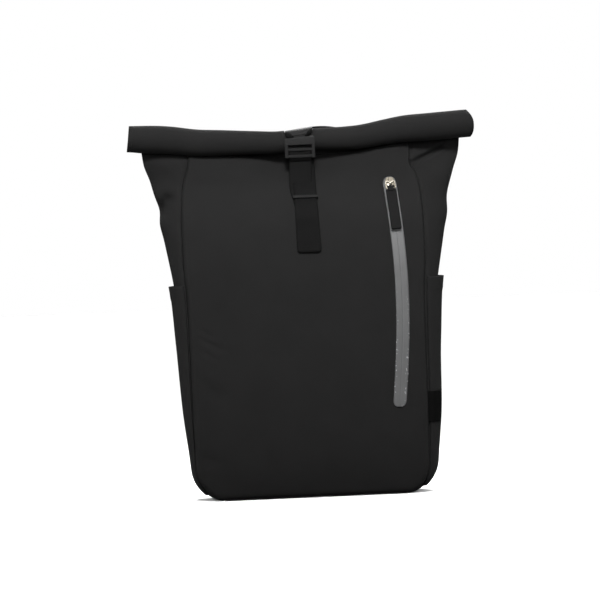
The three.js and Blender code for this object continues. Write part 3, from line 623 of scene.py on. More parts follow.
def over_roll(x, along, out):
    """A place on the buckle: along its bend over the roll, and out from the gripped roll."""
    radius = GRIP_RADIUS + out
    turn = max(0, along) / (GRIP_RADIUS + BUCKLE_MIDDLE)
    y = ROLL.y - radius * math.cos(turn)
    rise = (radius * GRIP.tall + GRIP.tilt * (x - BUCKLE_X)) * math.sin(turn)
    return Vector((x, y, GRIP_Z + rise + min(0, along)))


def joined(meshes):
    """One mesh of several."""
    whole = bmesh.new()
    for mesh in meshes:
        data = bpy.data.meshes.new("joining")
        mesh.to_mesh(data)
        mesh.free()
        whole.from_mesh(data)
        bpy.data.meshes.remove(data)
    return whole


def in_place(mesh, matrix=Matrix.Identity(4)):
    """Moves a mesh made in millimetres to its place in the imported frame."""
    for vertex in mesh.verts:
        vertex.co = placed(matrix @ vertex.co)
    for face in mesh.faces:
        face.smooth = True
    return mesh


def piece(name, mesh, slot, nodes=(), body="bag", thickness=0, offset=-1, sharp=0):
    """Makes an object of a mesh: its finish, its thickness, its body and the nodes it stands for."""
    data = bpy.data.meshes.new(name)
    mesh.to_mesh(data)
    mesh.free()
    if sharp:
        data.set_sharp_from_angle(angle=math.radians(sharp))
    data.materials.append(FINISHES[slot])
    made = bpy.data.objects.new(name, data)
    bpy.context.scene.collection.objects.link(made)
    if thickness:
        wall = made.modifiers.new("thickness", "SOLIDIFY")
        wall.thickness = thickness * MM
        wall.offset = offset
    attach(made, body)
    if nodes:
        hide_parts(*nodes)
    return made


def stitch_row(surface, start, end, off=0, facing=1):
    """A row of stitches between two places on a surface, some way off the side it faces."""
    mesh = bmesh.new()
    start, end = Vector(start), Vector(end)
    samples = [surface(*start.lerp(end, share)) for share in spaced(0, 1, STITCH.samples)]
    length = path_lengths(samples)[-1]
    count = int(length / STITCH.pitch)
    size = Matrix.Diagonal((STITCH.length / 2, STITCH.radius, STITCH.radius, 1))
    for number in range(count):
        share = (number + 0.5) / count
        place = start.lerp(end, share)
        way = surface(*start.lerp(end, share + STEP)) - surface(*start.lerp(end, share - STEP))
        out = outward(surface, *place) * facing
        side = out.cross(way).normalized()
        axes = Matrix((side.cross(out), side, out)).transposed().to_4x4()
        matrix = Matrix.Translation(surface(*place) + out * off) @ axes @ size
        bmesh.ops.create_icosphere(mesh, subdivisions=1, radius=1, matrix=matrix)
    return mesh


def stitches(name, rows):
    """Rows of stitches as one piece."""
    piece(name, in_place(joined(rows)), "thread")


def rows_across(face, shares, facing=1):
    """Rows of stitches across a strap, on the side they face, at shares of its length."""
    left, right = STITCH_ENDS
    return [stitch_row(face, (left, share), (right, share), WEBBING / 2, facing) for share in shares]


class Socket:
    """One output of a material's nodes. Arithmetic on it adds Math nodes."""

    def __init__(self, output):
        self.output = output

    def node(self, kind, settings=None, inputs=None, output=0):
        """Adds a node, sets it up, feeds its inputs, and gives one of its outputs."""
        tree = self.output.id_data
        made = tree.nodes.new(kind)
        for name, value in (settings or {}).items():
            setattr(made, name, value)
        for name, value in (inputs or {}).items():
            if isinstance(value, Socket):
                tree.links.new(value.output, made.inputs[name])
            else:
                made.inputs[name].default_value = value
        return Socket(made.outputs[output])

    def math(self, operation, *values):
        """A Math node on this and other values."""
        return self.node("ShaderNodeMath", {"operation": operation}, dict(enumerate(values)))

    def __add__(self, other):
        return self.math("ADD", self, other)

    def __sub__(self, other):
        return self.math("SUBTRACT", self, other)

    def __rsub__(self, other):
        return self.math("SUBTRACT", other, self)

    def __mul__(self, other):
        return self.math("MULTIPLY", self, other)

    def __mod__(self, other):
        return self.math("FLOORED_MODULO", self, other)

    def __pow__(self, other):
        return self.math("POWER", self, other)

    __radd__ = __add__
    __rmul__ = __mul__

    def step(self, low, high):
        """0 up to low, 1 from high, and an even S between them."""
        inputs = {"Value": self, "From Min": low, "From Max": high}
        return self.node("ShaderNodeMapRange", {"interpolation_type": "SMOOTHSTEP"}, inputs)

    def scaled(self, x, y, z=1):
        """This vector with each part multiplied."""
        inputs = {0: self, 1: (x, y, z)}
        return self.node("ShaderNodeVectorMath", {"operation": "MULTIPLY"}, inputs)

    def parts(self):
        """The x, y and z of a vector."""
        split = self.node("ShaderNodeSeparateXYZ", inputs={"Vector": self}).output.node
        return [Socket(output) for output in split.outputs]

    def cloudy(self, scale, detail=2, roughness=0.5):
        """Soft noise over a vector."""
        inputs = {"Vector": self, "Scale": scale, "Detail": detail, "Roughness": roughness}
        return self.node("ShaderNodeTexNoise", inputs=inputs)

    def between(self, low, high):
        """The colour a share of the way from low to high."""
        low, high = (end if isinstance(end, Socket) else (*end, 1) for end in (low, high))
        return self.node("ShaderNodeMix", {"data_type": "RGBA"}, {0: self, 6: low, 7: high}, 2)

    def bump(self, height, strength):
        """A normal bumped by this height, which is in metres times its strength."""
        inputs = {"Height": self, "Distance": height, "Strength": strength}
        return self.node("ShaderNodeBump", inputs=inputs, output="Normal")


def grey(value, warmth=0):
    """A nearly neutral colour."""
    return (value * (1 + warmth), value, value * (1 - warmth))


def finish(name, build, coordinates="UV", **constants):
    """A material: build gives what varies over it, and constants what doesn't."""
    made = bpy.data.materials.new(name)
    made.use_nodes = True
    tree = made.node_tree
    shader = tree.nodes["Principled BSDF"]
    for socket, value in constants.items():
        shader.inputs[socket.replace("_", " ")].default_value = value
    place = Socket(tree.nodes.new("ShaderNodeTexCoord").outputs[coordinates])
    for socket, value in build(place).items():
        tree.links.new(value.output, shader.inputs[socket])
    return made


def woven(place, pitch):
    """The height of a plain weave of yarns a pitch apart, from 0 to 1."""
    u, v, _ = place.scaled(1 / pitch, 1 / pitch).parts()
    over = ((u.math("FLOOR", u) + v.math("FLOOR", v)) % 2)
    across, along = u % 1, v % 1
    return over * across * (1 - across) * 4 + (1 - over) * along * (1 - along) * 4


def cloth_finish():
    """Matte polyester of a fine plain weave, with a faint slub and mottle."""
    def build(place):
        weave = woven(place, 0.00055)
        slub = place.scaled(900, 90).cloudy(1) * 0.5 + place.scaled(90, 900).cloudy(1) * 0.5
        mottle = place.cloudy(28, 3)
        shade = weave * 0.35 + slub * 0.4 + mottle * 0.45
        return {
            "Base Color": shade.between(grey(0.0052, 0.004), grey(0.0098, 0.004)),
            "Roughness": 0.72 + slub * 0.2,
            "Normal": (weave + slub * 0.6).bump(0.00022, 0.5),
        }
    return finish("charcoal cloth", build, Sheen_Weight=0.005, Specular_IOR_Level=0.004)


def webbing_finish():
    """Black webbing: ribs along it, crossed by the weft."""
    def build(place):
        u, v, _ = place.scaled(1 / 0.0016, 1 / 0.0011).parts()
        rib = (u % 1) * (1 - u % 1) * 4
        row = ((v + (u.math("FLOOR", u) % 2) * 0.5) % 1)
        weft = row * (1 - row) * 4
        wear = place.cloudy(60, 3)
        height = rib * 0.55 + weft * 0.45
        return {
            "Base Color": (height * 0.55 + wear * 0.5).between(grey(0.001), grey(0.0028)),
            "Roughness": 0.6 + wear * 0.25,
            "Normal": height.bump(0.0004, 0.7),
        }
    return finish("black webbing", build, Specular_IOR_Level=0.04)


def plastic_finish():
    """Dark grey moulded plastic with a fine spark texture."""
    def build(place):
        grain = place.cloudy(2600, 2)
        rub = place.cloudy(140, 3)
        return {
            "Base Color": rub.between(grey(0.0062), grey(0.0098)),
            "Roughness": 0.52 + grain * 0.14 + rub * 0.06,
            "Normal": grain.bump(0.00008, 0.35),
        }
    return finish("dark plastic", build, "Object", Specular_IOR_Level=0.02)


def reflective_finish():
    """Grey coated tape, with a fine bead texture and pale flecks by its edges lower down."""
    def build(place):
        u, v, _ = place.parts()
        bead = place.cloudy(2400, 1)
        cloud = place.cloudy(55, 3)
        edge = (u - ZIP.half * MM).math("ABSOLUTE", u - ZIP.half * MM).step(0.0042, 0.0058)
        low = 1 - v.step(0.07, 0.15)
        fleck = place.scaled(420, 330).cloudy(1, 1).step(0.6, 0.72) * edge * low
        shade = cloud * 0.6 + bead * 0.4
        plain = shade.between(grey(0.034, -0.01), grey(0.064, -0.01))
        return {
            "Base Color": fleck.between(plain, (0.2, 0.205, 0.21)),
            "Roughness": 0.4 + bead * 0.2,
            "Normal": (bead + fleck).bump(0.00015, 0.4),
        }
    return finish("reflective tape", build, Metallic=0.1, Specular_IOR_Level=0.15)


def one_pattern(pattern, colours, rough, relief):
    """A build whose colour, roughness and relief all follow one pattern."""
    def build(place):
        height = pattern(place)
        least, more = rough
        return {
            "Base Color": height.between(*colours),
            "Roughness": least + height * more,
            "Normal": height.bump(*relief),
        }
    return build


def metal_finish():
    """Bright warm nickel with light scuffs."""
    colours = ((0.095, 0.085, 0.064), (0.2, 0.18, 0.144))
    build = one_pattern(lambda place: place.cloudy(420, 4, 0.7), colours, (0.16, 0.16), (0.00006, 0.25))
    return finish("warm nickel", build, "Object", Metallic=0.35)


def rubber_finish():
    """Matte black rubber with a fine leathery grain."""
    colours = (grey(0.0028), grey(0.0056))
    build = one_pattern(lambda place: place.cloudy(1500, 3), colours, (0.55, 0.2), (0.0001, 0.4))
    return finish("black rubber", build, "Object", Specular_IOR_Level=0.02)


def label_finish():
    """A bare black woven tab."""
    colours = (grey(0.001), grey(0.003))
    build = one_pattern(lambda place: woven(place, 0.0004), colours, (0.75, 0.15), (0.00015, 0.4))
    return finish("bare label", build, Specular_IOR_Level=0.005)


def thread_finish():
    """Black sewing thread, twisted."""
    colours = (grey(0.003), grey(0.008))
    build = one_pattern(lambda place: place.cloudy(3000, 1), colours, (0.6, 0.2), (0.0001, 0.5))
    return finish("black thread", build, "Object", Specular_IOR_Level=0.03)


FINISHES = {
    "cloth": cloth_finish(),
    "webbing": webbing_finish(),
    "plastic": plastic_finish(),
    "reflective": reflective_finish(),
    "metal": metal_finish(),
    "rubber": rubber_finish(),
    "label": label_finish(),
    "thread": thread_finish(),
}


def panel_surface(panel_at, edge):
    """A panel's surface, with its columns from left to right as seen from its own side."""
    facing = 1 if edge == "front" else -1

    def surface(a, b):
        z = body_z(b)
        across = facing * lerp(-2, 2, a)
        half = front_half(1 if across > 0 else -1, z) if edge == "front" else level_at(z).back
        return panel_at(across_x(across, z, half), z)
    return surface


def front_panel():
    """The front, of one cloth, its edges turned back into the seam."""
    mesh = draped(panel_surface(front_at, "front"), 132, 140)
    made = piece("front_cloth", mesh, "cloth", ["front_panel"], thickness=CLOTH)


def back_panel():
    """The padded back."""
    mesh = draped(panel_surface(back_at, "back"), 110, 120)
    made = piece("back_padding", mesh, "cloth", ["back_panel"], thickness=BACK_PAD)


def base_panel():
    """The flat base between the gussets' lower ends."""
    half = BASE_HALF - GAP

    def surface(a, b):
        return Vector((lerp(-half, half, 1 - a), lerp(BASE.front, BASE.back, b), 0))
    made = piece("base_cloth", draped(surface, 60, 26), "cloth", ["base_panel"], thickness=CLOTH)


def gusset(word, side):
    """One side strip, folded flat under the roll."""
    def surface(a, b):
        return side_at(side, side * lerp(-1, 1, a), body_z(b, lowest=0))
    mesh = draped(surface, 96, 220)
    made = piece(f"gusset_cloth_{word}", mesh, "cloth", [f"gusset_{word}"], thickness=CLOTH)


def pocket_out(turn, z):
    """How far a pocket's outer face stands out from the bag's side."""
    share = 1 - abs(turn / POCKET_EDGE) ** 4
    gape = POCKET_GAPE.most * share * smoothstep(z, POCKET_GAPE.start, POCKET_TOP)
    hem_start = POCKET_TOP - POCKET_HEM.height
    hem = POCKET_HEM.step * smoothstep(z, hem_start, hem_start + 1)
    return GAP + CLOTH + gape + hem


def pocket_surface(side):
    """A pocket's outer face, bare of the dents behind it."""
    def turn_at(a):
        return side * lerp(-POCKET_EDGE, POCKET_EDGE, a)

    def height(b):
        return body_z(b, POCKET_TOP, POCKET_LOWEST_TURN)

    def bare(a, b):
        return side_at(side, turn_at(a), height(b), dents=())
    return raised(bare, lambda a, b: pocket_out(turn_at(a), height(b)))


def side_pocket(word, side):
    """One open-topped pocket with a wide hem."""
    mesh = draped(pocket_surface(side), 60, 110)
    made = piece(f"pocket_cloth_{word}", mesh, "cloth", [f"side_pocket_{word}"], thickness=CLOTH)
    front, back = POCKET_HEM.ends
    rows = [stitch_row(pocket_surface(side), (front, b), (back, b)) for b in POCKET_HEM.rows]
    stitches(f"pocket_stitches_{word}", rows)


def side_label():
    """The bare tab folded into the right front seam."""
    def surface(a, b):
        turn = lerp(LABEL.seam, LABEL.reach, a)
        return side_at(1, turn, lerp(LABEL.bottom, LABEL.top, b), dents=())

    def out(a, b):
        return pocket_out(-1, 0) + GAP + LABEL.thick + LABEL.lean * a * a
    mesh = draped(raised(surface, out), 16, 24)
    piece("label_tab", mesh, "label", ["side_label"], thickness=LABEL.thick)


def roll_place(x, radius, turn):
    """A place on the roll: along it, out from its middle and round it."""
    y = radius * math.cos(turn)
    z = radius * math.sin(turn)
    above = z / ROLL.radius
    gripped = 1 - smoothstep(abs(x - BUCKLE_X), GRIP.half, GRIP.fade)
    grip = 1 - GRIP.depth / ROLL.radius * gripped
    slim = roll_slim(x) * (1 - gripped)
    grip *= 1 - slim / ROLL.radius
    around = Vector((x / ROLL_LUMPS.reach, math.cos(turn), math.sin(turn)))
    grip *= 1 + ROLL_LUMPS.depth * (1 - gripped) * noise.noise(around)
    hump = max(0, above) * ((GRIP.tall - 1) * GRIP_RADIUS + GRIP.tilt * (x - BUCKLE_X))
    end = smoothstep(abs(x), ROLL_END.start, ROLL.half)
    if x < 0:
        x += end * (ROLL_END.slant * above - ROLL_END.reach)
        z += end * ROLL_END.lift * max(0, -above)
    else:
        x -= end * (ROLL_END.top * max(0, above) ** 2 + ROLL_END.bottom * max(0, -above) ** 3)
    height = ROLL.z + slim + z * grip + roll_rise(x) + gripped * (hump - GRIP.drop)
    return Vector((x, ROLL.y + y * grip, height))


def roll_top():
    """The collar, rolled forward."""
    def surface(a, b):
        radius = lerp(ROLL.core, ROLL.radius - ROLL.cloth / 2, a)
        turn = math.radians(ROLL.end_turn) + (1 - a) * ROLL.turns * 2 * math.pi
        along = 2 * b - 1
        return roll_place(-ROLL.half * lerp(along, along ** 3, 0.5), radius, turn)
    mesh = draped(surface, 190, 130)
    made = piece("rolled_collar", mesh, "cloth", ["roll_top"], thickness=ROLL.cloth, offset=0)


def zip_x(z):
    """The middle of the zip at a height."""
    share = min(max((z - ZIP.bottom) / (ZIP.top - ZIP.bottom), 0), 1)
    return ZIP.x + ZIP.bow * math.sin(math.pi * share)


def zip_surface(a, b):
    """The zip tape's footprint on the front, with round ends."""
    z = lerp(ZIP.bottom, ZIP.top, b)
    inside = max(0, 1 - min(z - ZIP.bottom, ZIP.top - z) / ZIP.half)
    half = ZIP.half * lerp(ZIP.end_share, 1, math.sqrt(1 - inside * inside))
    return front_at(zip_x(z) + lerp(-1, 1, a) * half, z)


def zip_tape():
    """The grey tape over the closed zip, with a shallow line down its middle."""
    def out(a, b):
        middle = math.exp(-(((a - 0.5) / TAPE.line_share) ** 2))
        edge = smoothstep(min(a, 1 - a), 0, TAPE.edge_share)
        return GAP + TAPE.out + TAPE.edge * edge - TAPE.line * middle
    mesh = draped(raised(zip_surface, out), 32, 180)
    piece("zip_cover", mesh, "reflective", ["zip_tape"], thickness=TAPE.thick)


def slider_frame():
    """The slider's own frame on the tape: x across, y up the tape, z out of it."""
    share = (ZIP.slider_z - ZIP.bottom) / (ZIP.top - ZIP.bottom)
    step = 1 / (ZIP.top - ZIP.bottom)
    up = (zip_surface(0.5, share + step) - zip_surface(0.5, share - step)).normalized()
    side = zip_surface(1, share) - zip_surface(0, share)
    out = side.cross(up).normalized()
    axes = Matrix((up.cross(out), up, out)).transposed().to_4x4()
    return Matrix.Translation(zip_surface(0.5, share) + out * SLIDER.out) @ axes


def rounded_plate(width, bottom, top, low, high, corner, edge):
    """A flat block with round corners and softened edges."""
    def place(i, j):
        return Vector(((i - 0.5) * width, (bottom, top)[j], low))
    mesh = moulded(place, 1, 1, high - low, round_corners=corner)
    return softened(mesh, edge)


def wire(path, radius):
    """Round wire along a closed path that is flat in z."""
    flat = Vector((0, 0, 1))

    def surface(a, b):
        along = (path((b + STEP) % 1) - path((b - STEP) % 1)).normalized()
        turn = 2 * math.pi * a
        return path(b) + radius * (flat * math.cos(turn) + along.cross(flat) * math.sin(turn))
    return surface


def zip_slider():
    """The slider, with its bridge."""
    slider, bridge = SLIDER, BRIDGE
    body = rounded_plate(slider.width, slider.bottom, slider.top, 0, slider.thick, slider.corner, slider.edge)
    height = slider.thick + bridge.eye + bridge.wire / 2
    low, high = (-bridge.eye - bridge.wire / 2, bridge.eye + bridge.wire / 2)
    half = bridge.width / 2
    parts = [body]
    for foot in (low, high - bridge.wire):
        leg = block((-half, foot, slider.thick / 2), (half, foot + bridge.wire, height))
        parts.append(softened(leg, bridge.leg_edge))
    top = height + bridge.wire / 2
    arch = block((-half, low, top - bridge.wire), (half, high, top))
    parts.append(softened(arch, bridge.arch_edge))
    mesh = in_place(joined(parts), slider_frame())
    piece("slider_body", mesh, "metal", ["zip_slider"], sharp=HARD_ANGLE)


def pull_frame():
    """The frame of the puller, which hangs from the bridge's eye."""
    out = SLIDER.thick + BRIDGE.eye / 2
    rest = Matrix.Rotation(math.radians(PULL_REST), 4, "X")
    return slider_frame() @ Matrix.Translation((0, 0, out)) @ rest


def pull_link():
    """The wire ring through the bridge."""
    ring = PULL_RING
    half = (ring.width - ring.wire) / 2
    top = 0
    bottom = ring.wire - ring.length
    corners = [(half, top), (-half, top), (-half, bottom), (half, bottom)]
    points = []
    for index, corner in enumerate(corners):
        here = Vector((*corner, 0))
        for other, shares in ((corners[index - 1], (1, 0.3)), (corners[(index + 1) % 4], (0.3, 1))):
            way = (Vector((*other, 0)) - here).normalized()
            points.extend(here + way * ring.corner * share for share in shares)
    loop = smooth_path(points + points[:1])
    matrix = pull_frame()
    surface = wire(loop, ring.wire / 2)
    mesh = lofted(lambda a, b: matrix @ surface(a, b), 12, 64, ring=True)
    piece("puller_ring", mesh, "metal", ["pull_link"], body="puller")


def pull_tab():
    """The stiff tab on the ring, its root wrapped round the ring's lower bar."""
    tab, ring = PULL_TAB, PULL_RING
    bar = ring.wire - ring.length
    top = bar - ring.wire
    half_thick = tab.thick / 2
    plate = rounded_plate(tab.width, top - tab.length, top, -half_thick, half_thick, tab.corner, tab.edge)
    bore = ring.wire + 2 * GAP
    half = (ring.width - 2 * ring.wire - 2 * GAP) / 2
    outer = bore / 2 + tab.wall
    front = block((-half, top - TAB_ROOT.depth, bore / 2), (half, bar + outer, outer))
    back = block((-half, top - TAB_ROOT.depth, -outer), (half, bar + outer, -bore / 2))
    head = block((-half, bar + bore / 2, -outer), (half, bar + outer, outer))
    parts = [plate] + [softened(part, TAB_ROOT.edge) for part in (front, back, head)]
    mesh = in_place(joined(parts), pull_frame())
    piece("puller_tab", mesh, "rubber", ["pull_tab"], body="puller", sharp=HARD_ANGLE)


def buckle_half(name, parts, node):
    """One half of the buckle: its mouldings bent over the roll, as one piece."""
    mesh = in_place(joined([bent(part) for part in parts]))
    piece(name, mesh, "plastic", [node], sharp=HARD_ANGLE)


def buckle_male():
    """The half of the buckle that holds the front strap."""
    male, bar, rear = MALE, FRONT_BAR, REAR_BAR
    across = (-male.half, -male.inner, male.inner, male.half)
    along = (male.bottom, male.plate, male.top)
    shell = moulded(lambda i, j: Vector((across[i], along[j], BUCKLE_BACK)), 3, 2,
                    male.front - BUCKLE_BACK, holes={(1, 0)})

    def at_shoulder(vertex):
        return vertex.co.y > male.top - NEAR and abs(vertex.co.x) > male.half - NEAR
    shoulders = [edge for edge in shell.edges if all(at_shoulder(vertex) for vertex in edge.verts)]
    bmesh.ops.bevel(shell, geom=shoulders, offset=male.round, segments=6, profile=0.5,
                    affect="EDGES", material=-1)
    reach = male.inner + bar.overlap
    face = male.front - bar.inset

    def cross_bar(low, high, back, front):
        return block((-reach, low, back), (reach, high, front))
    bars = [
        cross_bar(male.bottom, male.bottom + bar.height, bar.back, face),
        cross_bar(rear.at - bar.height / 2, rear.at + bar.height / 2, bar.back, face),
        cross_bar(rear.at - rear.half, rear.at + rear.half, rear.out - rear.half, rear.out + rear.half),
        block((-TONGUE.half, male.top - bar.overlap, TONGUE.back), (TONGUE.half, TONGUE.end, TONGUE.front)),
    ]
    parts = [softened(shell, BUCKLE_EDGE.frame)] + [softened(part, BUCKLE_EDGE.bar) for part in bars]
    buckle_half("buckle_frame", parts, "buckle_male")


def buckle_female():
    """The half of the buckle that the tongue clicks into, with a bar for the top strap."""
    female = FEMALE
    along = spaced(female.start, female.slot, 8) + [female.bar, female.end]
    across = (-1, -female.rim, female.rim, 1)

    def place(i, j):
        flare = smoothstep(along[j], female.start + FLARE.start, female.start + FLARE.end)
        return Vector((across[i] * lerp(female.waist, female.half, flare), along[j], BUCKLE_BACK))
    body = moulded(place, 3, len(along) - 1, female.front - BUCKLE_BACK, holes={(1, 8), (1, 9)})
    half = FEMALE_BAR.half
    bar = block((-half, female.bar, FEMALE_BAR.back), (half, female.end, FEMALE_BAR.front))
    parts = [softened(body, BUCKLE_EDGE.socket), softened(bar, BUCKLE_EDGE.bar)]
    buckle_half("buckle_socket", parts, "buckle_female")


def off_panel(panel_at, z, out):
    """A place off the middle of a panel, out along its normal in the plane of a strap."""
    step = 0.5
    up = (panel_at(0, z + step) - panel_at(0, z - step)).normalized()
    facing = -1 if panel_at is front_at else 1
    return panel_at(0, z) + Vector((0, facing * up.z, -facing * up.y)) * out


def strap_x(z):
    """The middle of the front strap, which leans as it hangs."""
    below = max(0, GRIP_Z + MALE.bottom - z)
    return BUCKLE_X + STRAP_SHIFT * smoothstep(below, 0, STRAP_SETTLE) + STRAP_SKEW * below


def front_strap():
    """The webbing from the front, through the buckle, with its tail folded up into a hem."""
    under = GAP + WEBBING / 2
    over = under + WEBBING + GAP

    def layer(heights, out, shift=0):
        places = []
        for z in heights:
            x = strap_x(z) + shift * smoothstep(z, KEEPER.z - UNDER.below, KEEPER.z + UNDER.above)
            places.append(off_panel(front_at, z, out) + Vector((x, 0, 0)))
        return places

    def round_bar(degrees):
        turn = math.radians(degrees)
        along = REAR_BAR.at + STRAP_LOOP * math.sin(turn)
        return over_roll(BUCKLE_X, along, REAR_BAR.out + STRAP_LOOP * math.cos(turn))
    start = MALE.bottom - 1
    hem = STRAP_TAIL[-1]
    points = [
        *layer(STRAP_ANCHOR, under, UNDER.shift),
        over_roll(BUCKLE_X, start, REAR_BAR.out - STRAP_LOOP),
        *[round_bar(degrees) for degrees in spaced(180, 0, 8)],
        over_roll(BUCKLE_X, start, REAR_BAR.out + STRAP_LOOP),
        Vector((strap_x(STRAP_DIP.z), STRAP_DIP.y, STRAP_DIP.z)),
        *reversed(layer(STRAP_ANCHOR, over)),
        *layer(STRAP_TAIL, under),
        *layer([hem - TAIL_HEM.fold], (under + over) / 2),
        *layer([hem + rise for rise in TAIL_HEM.rises], over),
    ]
    path = smooth_path(points)
    fold = min(spaced(TAIL_HEM.search, 1, 200), key=lambda share: path(share).z)

    def width(share):
        corner = TAIL.depth * math.exp(-(((share - fold) / TAIL.reach) ** 2))
        return WEBBING_WIDTH + TAIL.spread * smoothstep(share, TAIL.start, TAIL.end) - corner
    mesh = draped(strap_face(path, width), 12, 300)
    piece("front_webbing", mesh, "webbing", ["front_strap"], thickness=WEBBING, offset=0)
    even_face = strap_face(path, lambda share: WEBBING_WIDTH)
    stitches("tail_stitches", rows_across(even_face, [lerp(fold, 1, TAIL_HEM.stitch)]))


def strap_keeper():
    """A low bridge over both layers of the strap."""
    hollow = 2 * WEBBING + 3 * GAP
    low, high = GAP, GAP + hollow + KEEPER.wall
    half = KEEPER.half
    middle = off_panel(front_at, KEEPER.z, 0)
    above = off_panel(front_at, KEEPER.z + 1, 0)
    up = (above - middle).normalized()
    side = Vector((1, 0, 0))
    axes = Matrix((side, up, side.cross(up))).transposed().to_4x4()
    tall = KEEPER.height / 2
    parts = [
        block((-half, -tall, high - KEEPER.wall), (half, tall, high)),
        block((-half, -tall, low), (KEEPER.wall - half, tall, high - KEEPER.inset)),
        block((half - KEEPER.wall, -tall, low), (half, tall, high - KEEPER.inset)),
    ]
    matrix = Matrix.Translation(middle + side * strap_x(KEEPER.z)) @ axes
    mesh = in_place(joined([softened(part, KEEPER.edge) for part in parts]), matrix)
    piece("keeper_bar", mesh, "plastic", ["strap_keeper"], sharp=HARD_ANGLE)


def top_strap():
    """The webbing from the buckle over the roll to the back."""
    bar_along = (FEMALE.bar + FEMALE.end) / 2

    def round_bar(degrees):
        turn = math.radians(degrees)
        along = bar_along + TOP_LOOP.radius * math.cos(turn)
        return over_roll(BUCKLE_X, along, TOP_LOOP.out + TOP_LOOP.radius * math.sin(turn))

    def past_socket(place):
        past, out = place
        return over_roll(BUCKLE_X, FEMALE.end + past, out)
    off = 3 * GAP + WEBBING / 2
    aside = Vector((BUCKLE_X, 0, 0))
    points = [
        past_socket(TOP_STRAP_START),
        *[round_bar(degrees) for degrees in spaced(TOP_LOOP.start, TOP_LOOP.end, 12)],
        *[past_socket(place) for place in TOP_STRAP_OVER],
        *[off_panel(back_at, z, off) + aside for z in spaced(TOP_Z, TOP_STRAP_END_Z, 7)],
    ]
    path = smooth_path(points)

    def face(a, b):
        middle = path(b)
        across = (a - 0.5) * WEBBING_WIDTH
        upper = smoothstep(middle.z, TOP_Z, GRIP_Z + GRIP_RADIUS)
        return middle + Vector((across, 0, GRIP.tilt * across * upper))
    piece("top_webbing", draped(face, 12, 150), "webbing", ["top_strap"], thickness=WEBBING, offset=0)
    stitches("top_strap_stitches", rows_across(face, TOP_STITCHES))


def grab_handle():
    """The webbing loop behind the roll, its feet sewn to the slope of the back."""
    middle = (HANDLE.front + HANDLE.back) / 2
    arch = smooth_path([(x, middle, z) for x, z in HANDLE_PATH])
    width = HANDLE.back - HANDLE.front

    def surface(a, b):
        point = arch(b) + Vector((0, (a - 0.5) * width, 0))
        slope = HANDLE.foot
        while slope < TOP_Z and back_at(point.x, slope).y > point.y - HANDLE.clear:
            slope += 1
        point.z = max(point.z, back_at(point.x, slope).z + HANDLE.rise)
        return point
    mesh = draped(surface, 12, 120)
    piece("handle_webbing", mesh, "webbing", ["grab_handle"], thickness=HANDLE.thick, offset=0)


shoulder_curve = smooth_path(SHOULDER_PATH)


def along_shoulder(share):
    """The place, the way on, the way across and the way out of the right shoulder strap."""
    way = (shoulder_curve(min(share + STEP, 1)) - shoulder_curve(max(share - STEP, 0))).normalized()
    side = Vector((1, 0, 0))
    side = (side - way * side.dot(way)).normalized()
    return shoulder_curve(share), way, side, side.cross(way)


def mirrored(surface, side):
    """The right strap's surface, or its mirror image."""
    return lambda a, b: Vector((side, 1, 1)) * surface(a, b)


def shoulder_section(a, b):
    """Round the padding: crowned outside, flat inside, pinched at its sewn edges."""
    point, _, side, out = along_shoulder(b)
    half = lerp(SHOULDER.half, SHOULDER.end_half, b)
    turn = 2 * math.pi * a
    across = math.copysign(abs(math.cos(turn)) ** SHOULDER_ROUND.across, math.cos(turn))
    thick = math.sin(turn)
    edge = SHOULDER.edge / 2
    middle = SHOULDER.thick / 2 - SHOULDER.slack - edge
    full = middle * math.copysign(abs(thick) ** SHOULDER_ROUND.thick, thick) + edge * thick
    return point + side * across * half - out * SHOULDER.thick / 2 + out * full


def sewn_places(face):
    """The places of a strap's mesh that its sewn edges and ends hold."""
    held = []
    for a in spaced(0, 1, PADDING.columns):
        from_edge = min(a % 0.5, 0.5 - a % 0.5)
        for b in spaced(0, 1, PADDING.rows):
            if from_edge < SHOULDER.hem or min(b, 1 - b) < SHOULDER.end:
                held.append(placed(face(a, b)))
    return held


def puff_up(made, held):
    """Swells a closed piece as cloth under pressure with some places held, and keeps the shape."""
    vertices = made.data.vertices
    start = [vertex.co.copy() for vertex in vertices]
    tree = kdtree.KDTree(len(start))
    for index, place in enumerate(start):
        tree.insert(place, index)
    tree.balance()
    sewn = made.vertex_groups.new(name="sewn")
    sewn.add([tree.find(place)[1] for place in held], 1, "REPLACE")
    cloth = made.modifiers.new("cloth", "CLOTH")
    cloth.settings.vertex_group_mass = sewn.name
    cloth.settings.use_pressure = True
    cloth.settings.uniform_pressure_force = PADDING.pressure
    cloth.settings.shrink_min = -PADDING.spare
    cloth.settings.effector_weights.gravity = 0
    cloth.collision_settings.use_collision = False
    for number in range(1, PADDING.frames + 1):
        bpy.context.scene.frame_set(number)
    shaped = made.evaluated_get(bpy.context.evaluated_depsgraph_get())
    moves = [after.co - before for after, before in zip(shaped.data.vertices, start)]
    made.modifiers.remove(cloth)
    bpy.context.scene.frame_set(1)
    for vertex, move in zip(vertices, moves):
        vertex.co += move * min(1, PADDING.cap * MM / max(move.length, 1e-9))
    smooth = made.modifiers.new("smooth", "SUBSURF")
    smooth.levels = smooth.render_levels = 1


def shoulder_strap(word, side):
    """One padded strap."""
    face = mirrored(shoulder_section, side)
    mesh = lofted(face, PADDING.columns, PADDING.rows)
    made = piece(f"strap_padding_{word}", mesh, "cloth", [f"shoulder_strap_{word}"])
    puff_up(made, sewn_places(face))
    rows = [stitch_row(face, (a, SHOULDER.end), (a, 1 - SHOULDER.end), facing=-side)
            for a in (SHOULDER.hem, 0.5 - SHOULDER.hem)]
    stitches(f"shoulder_stitches_{word}", rows)


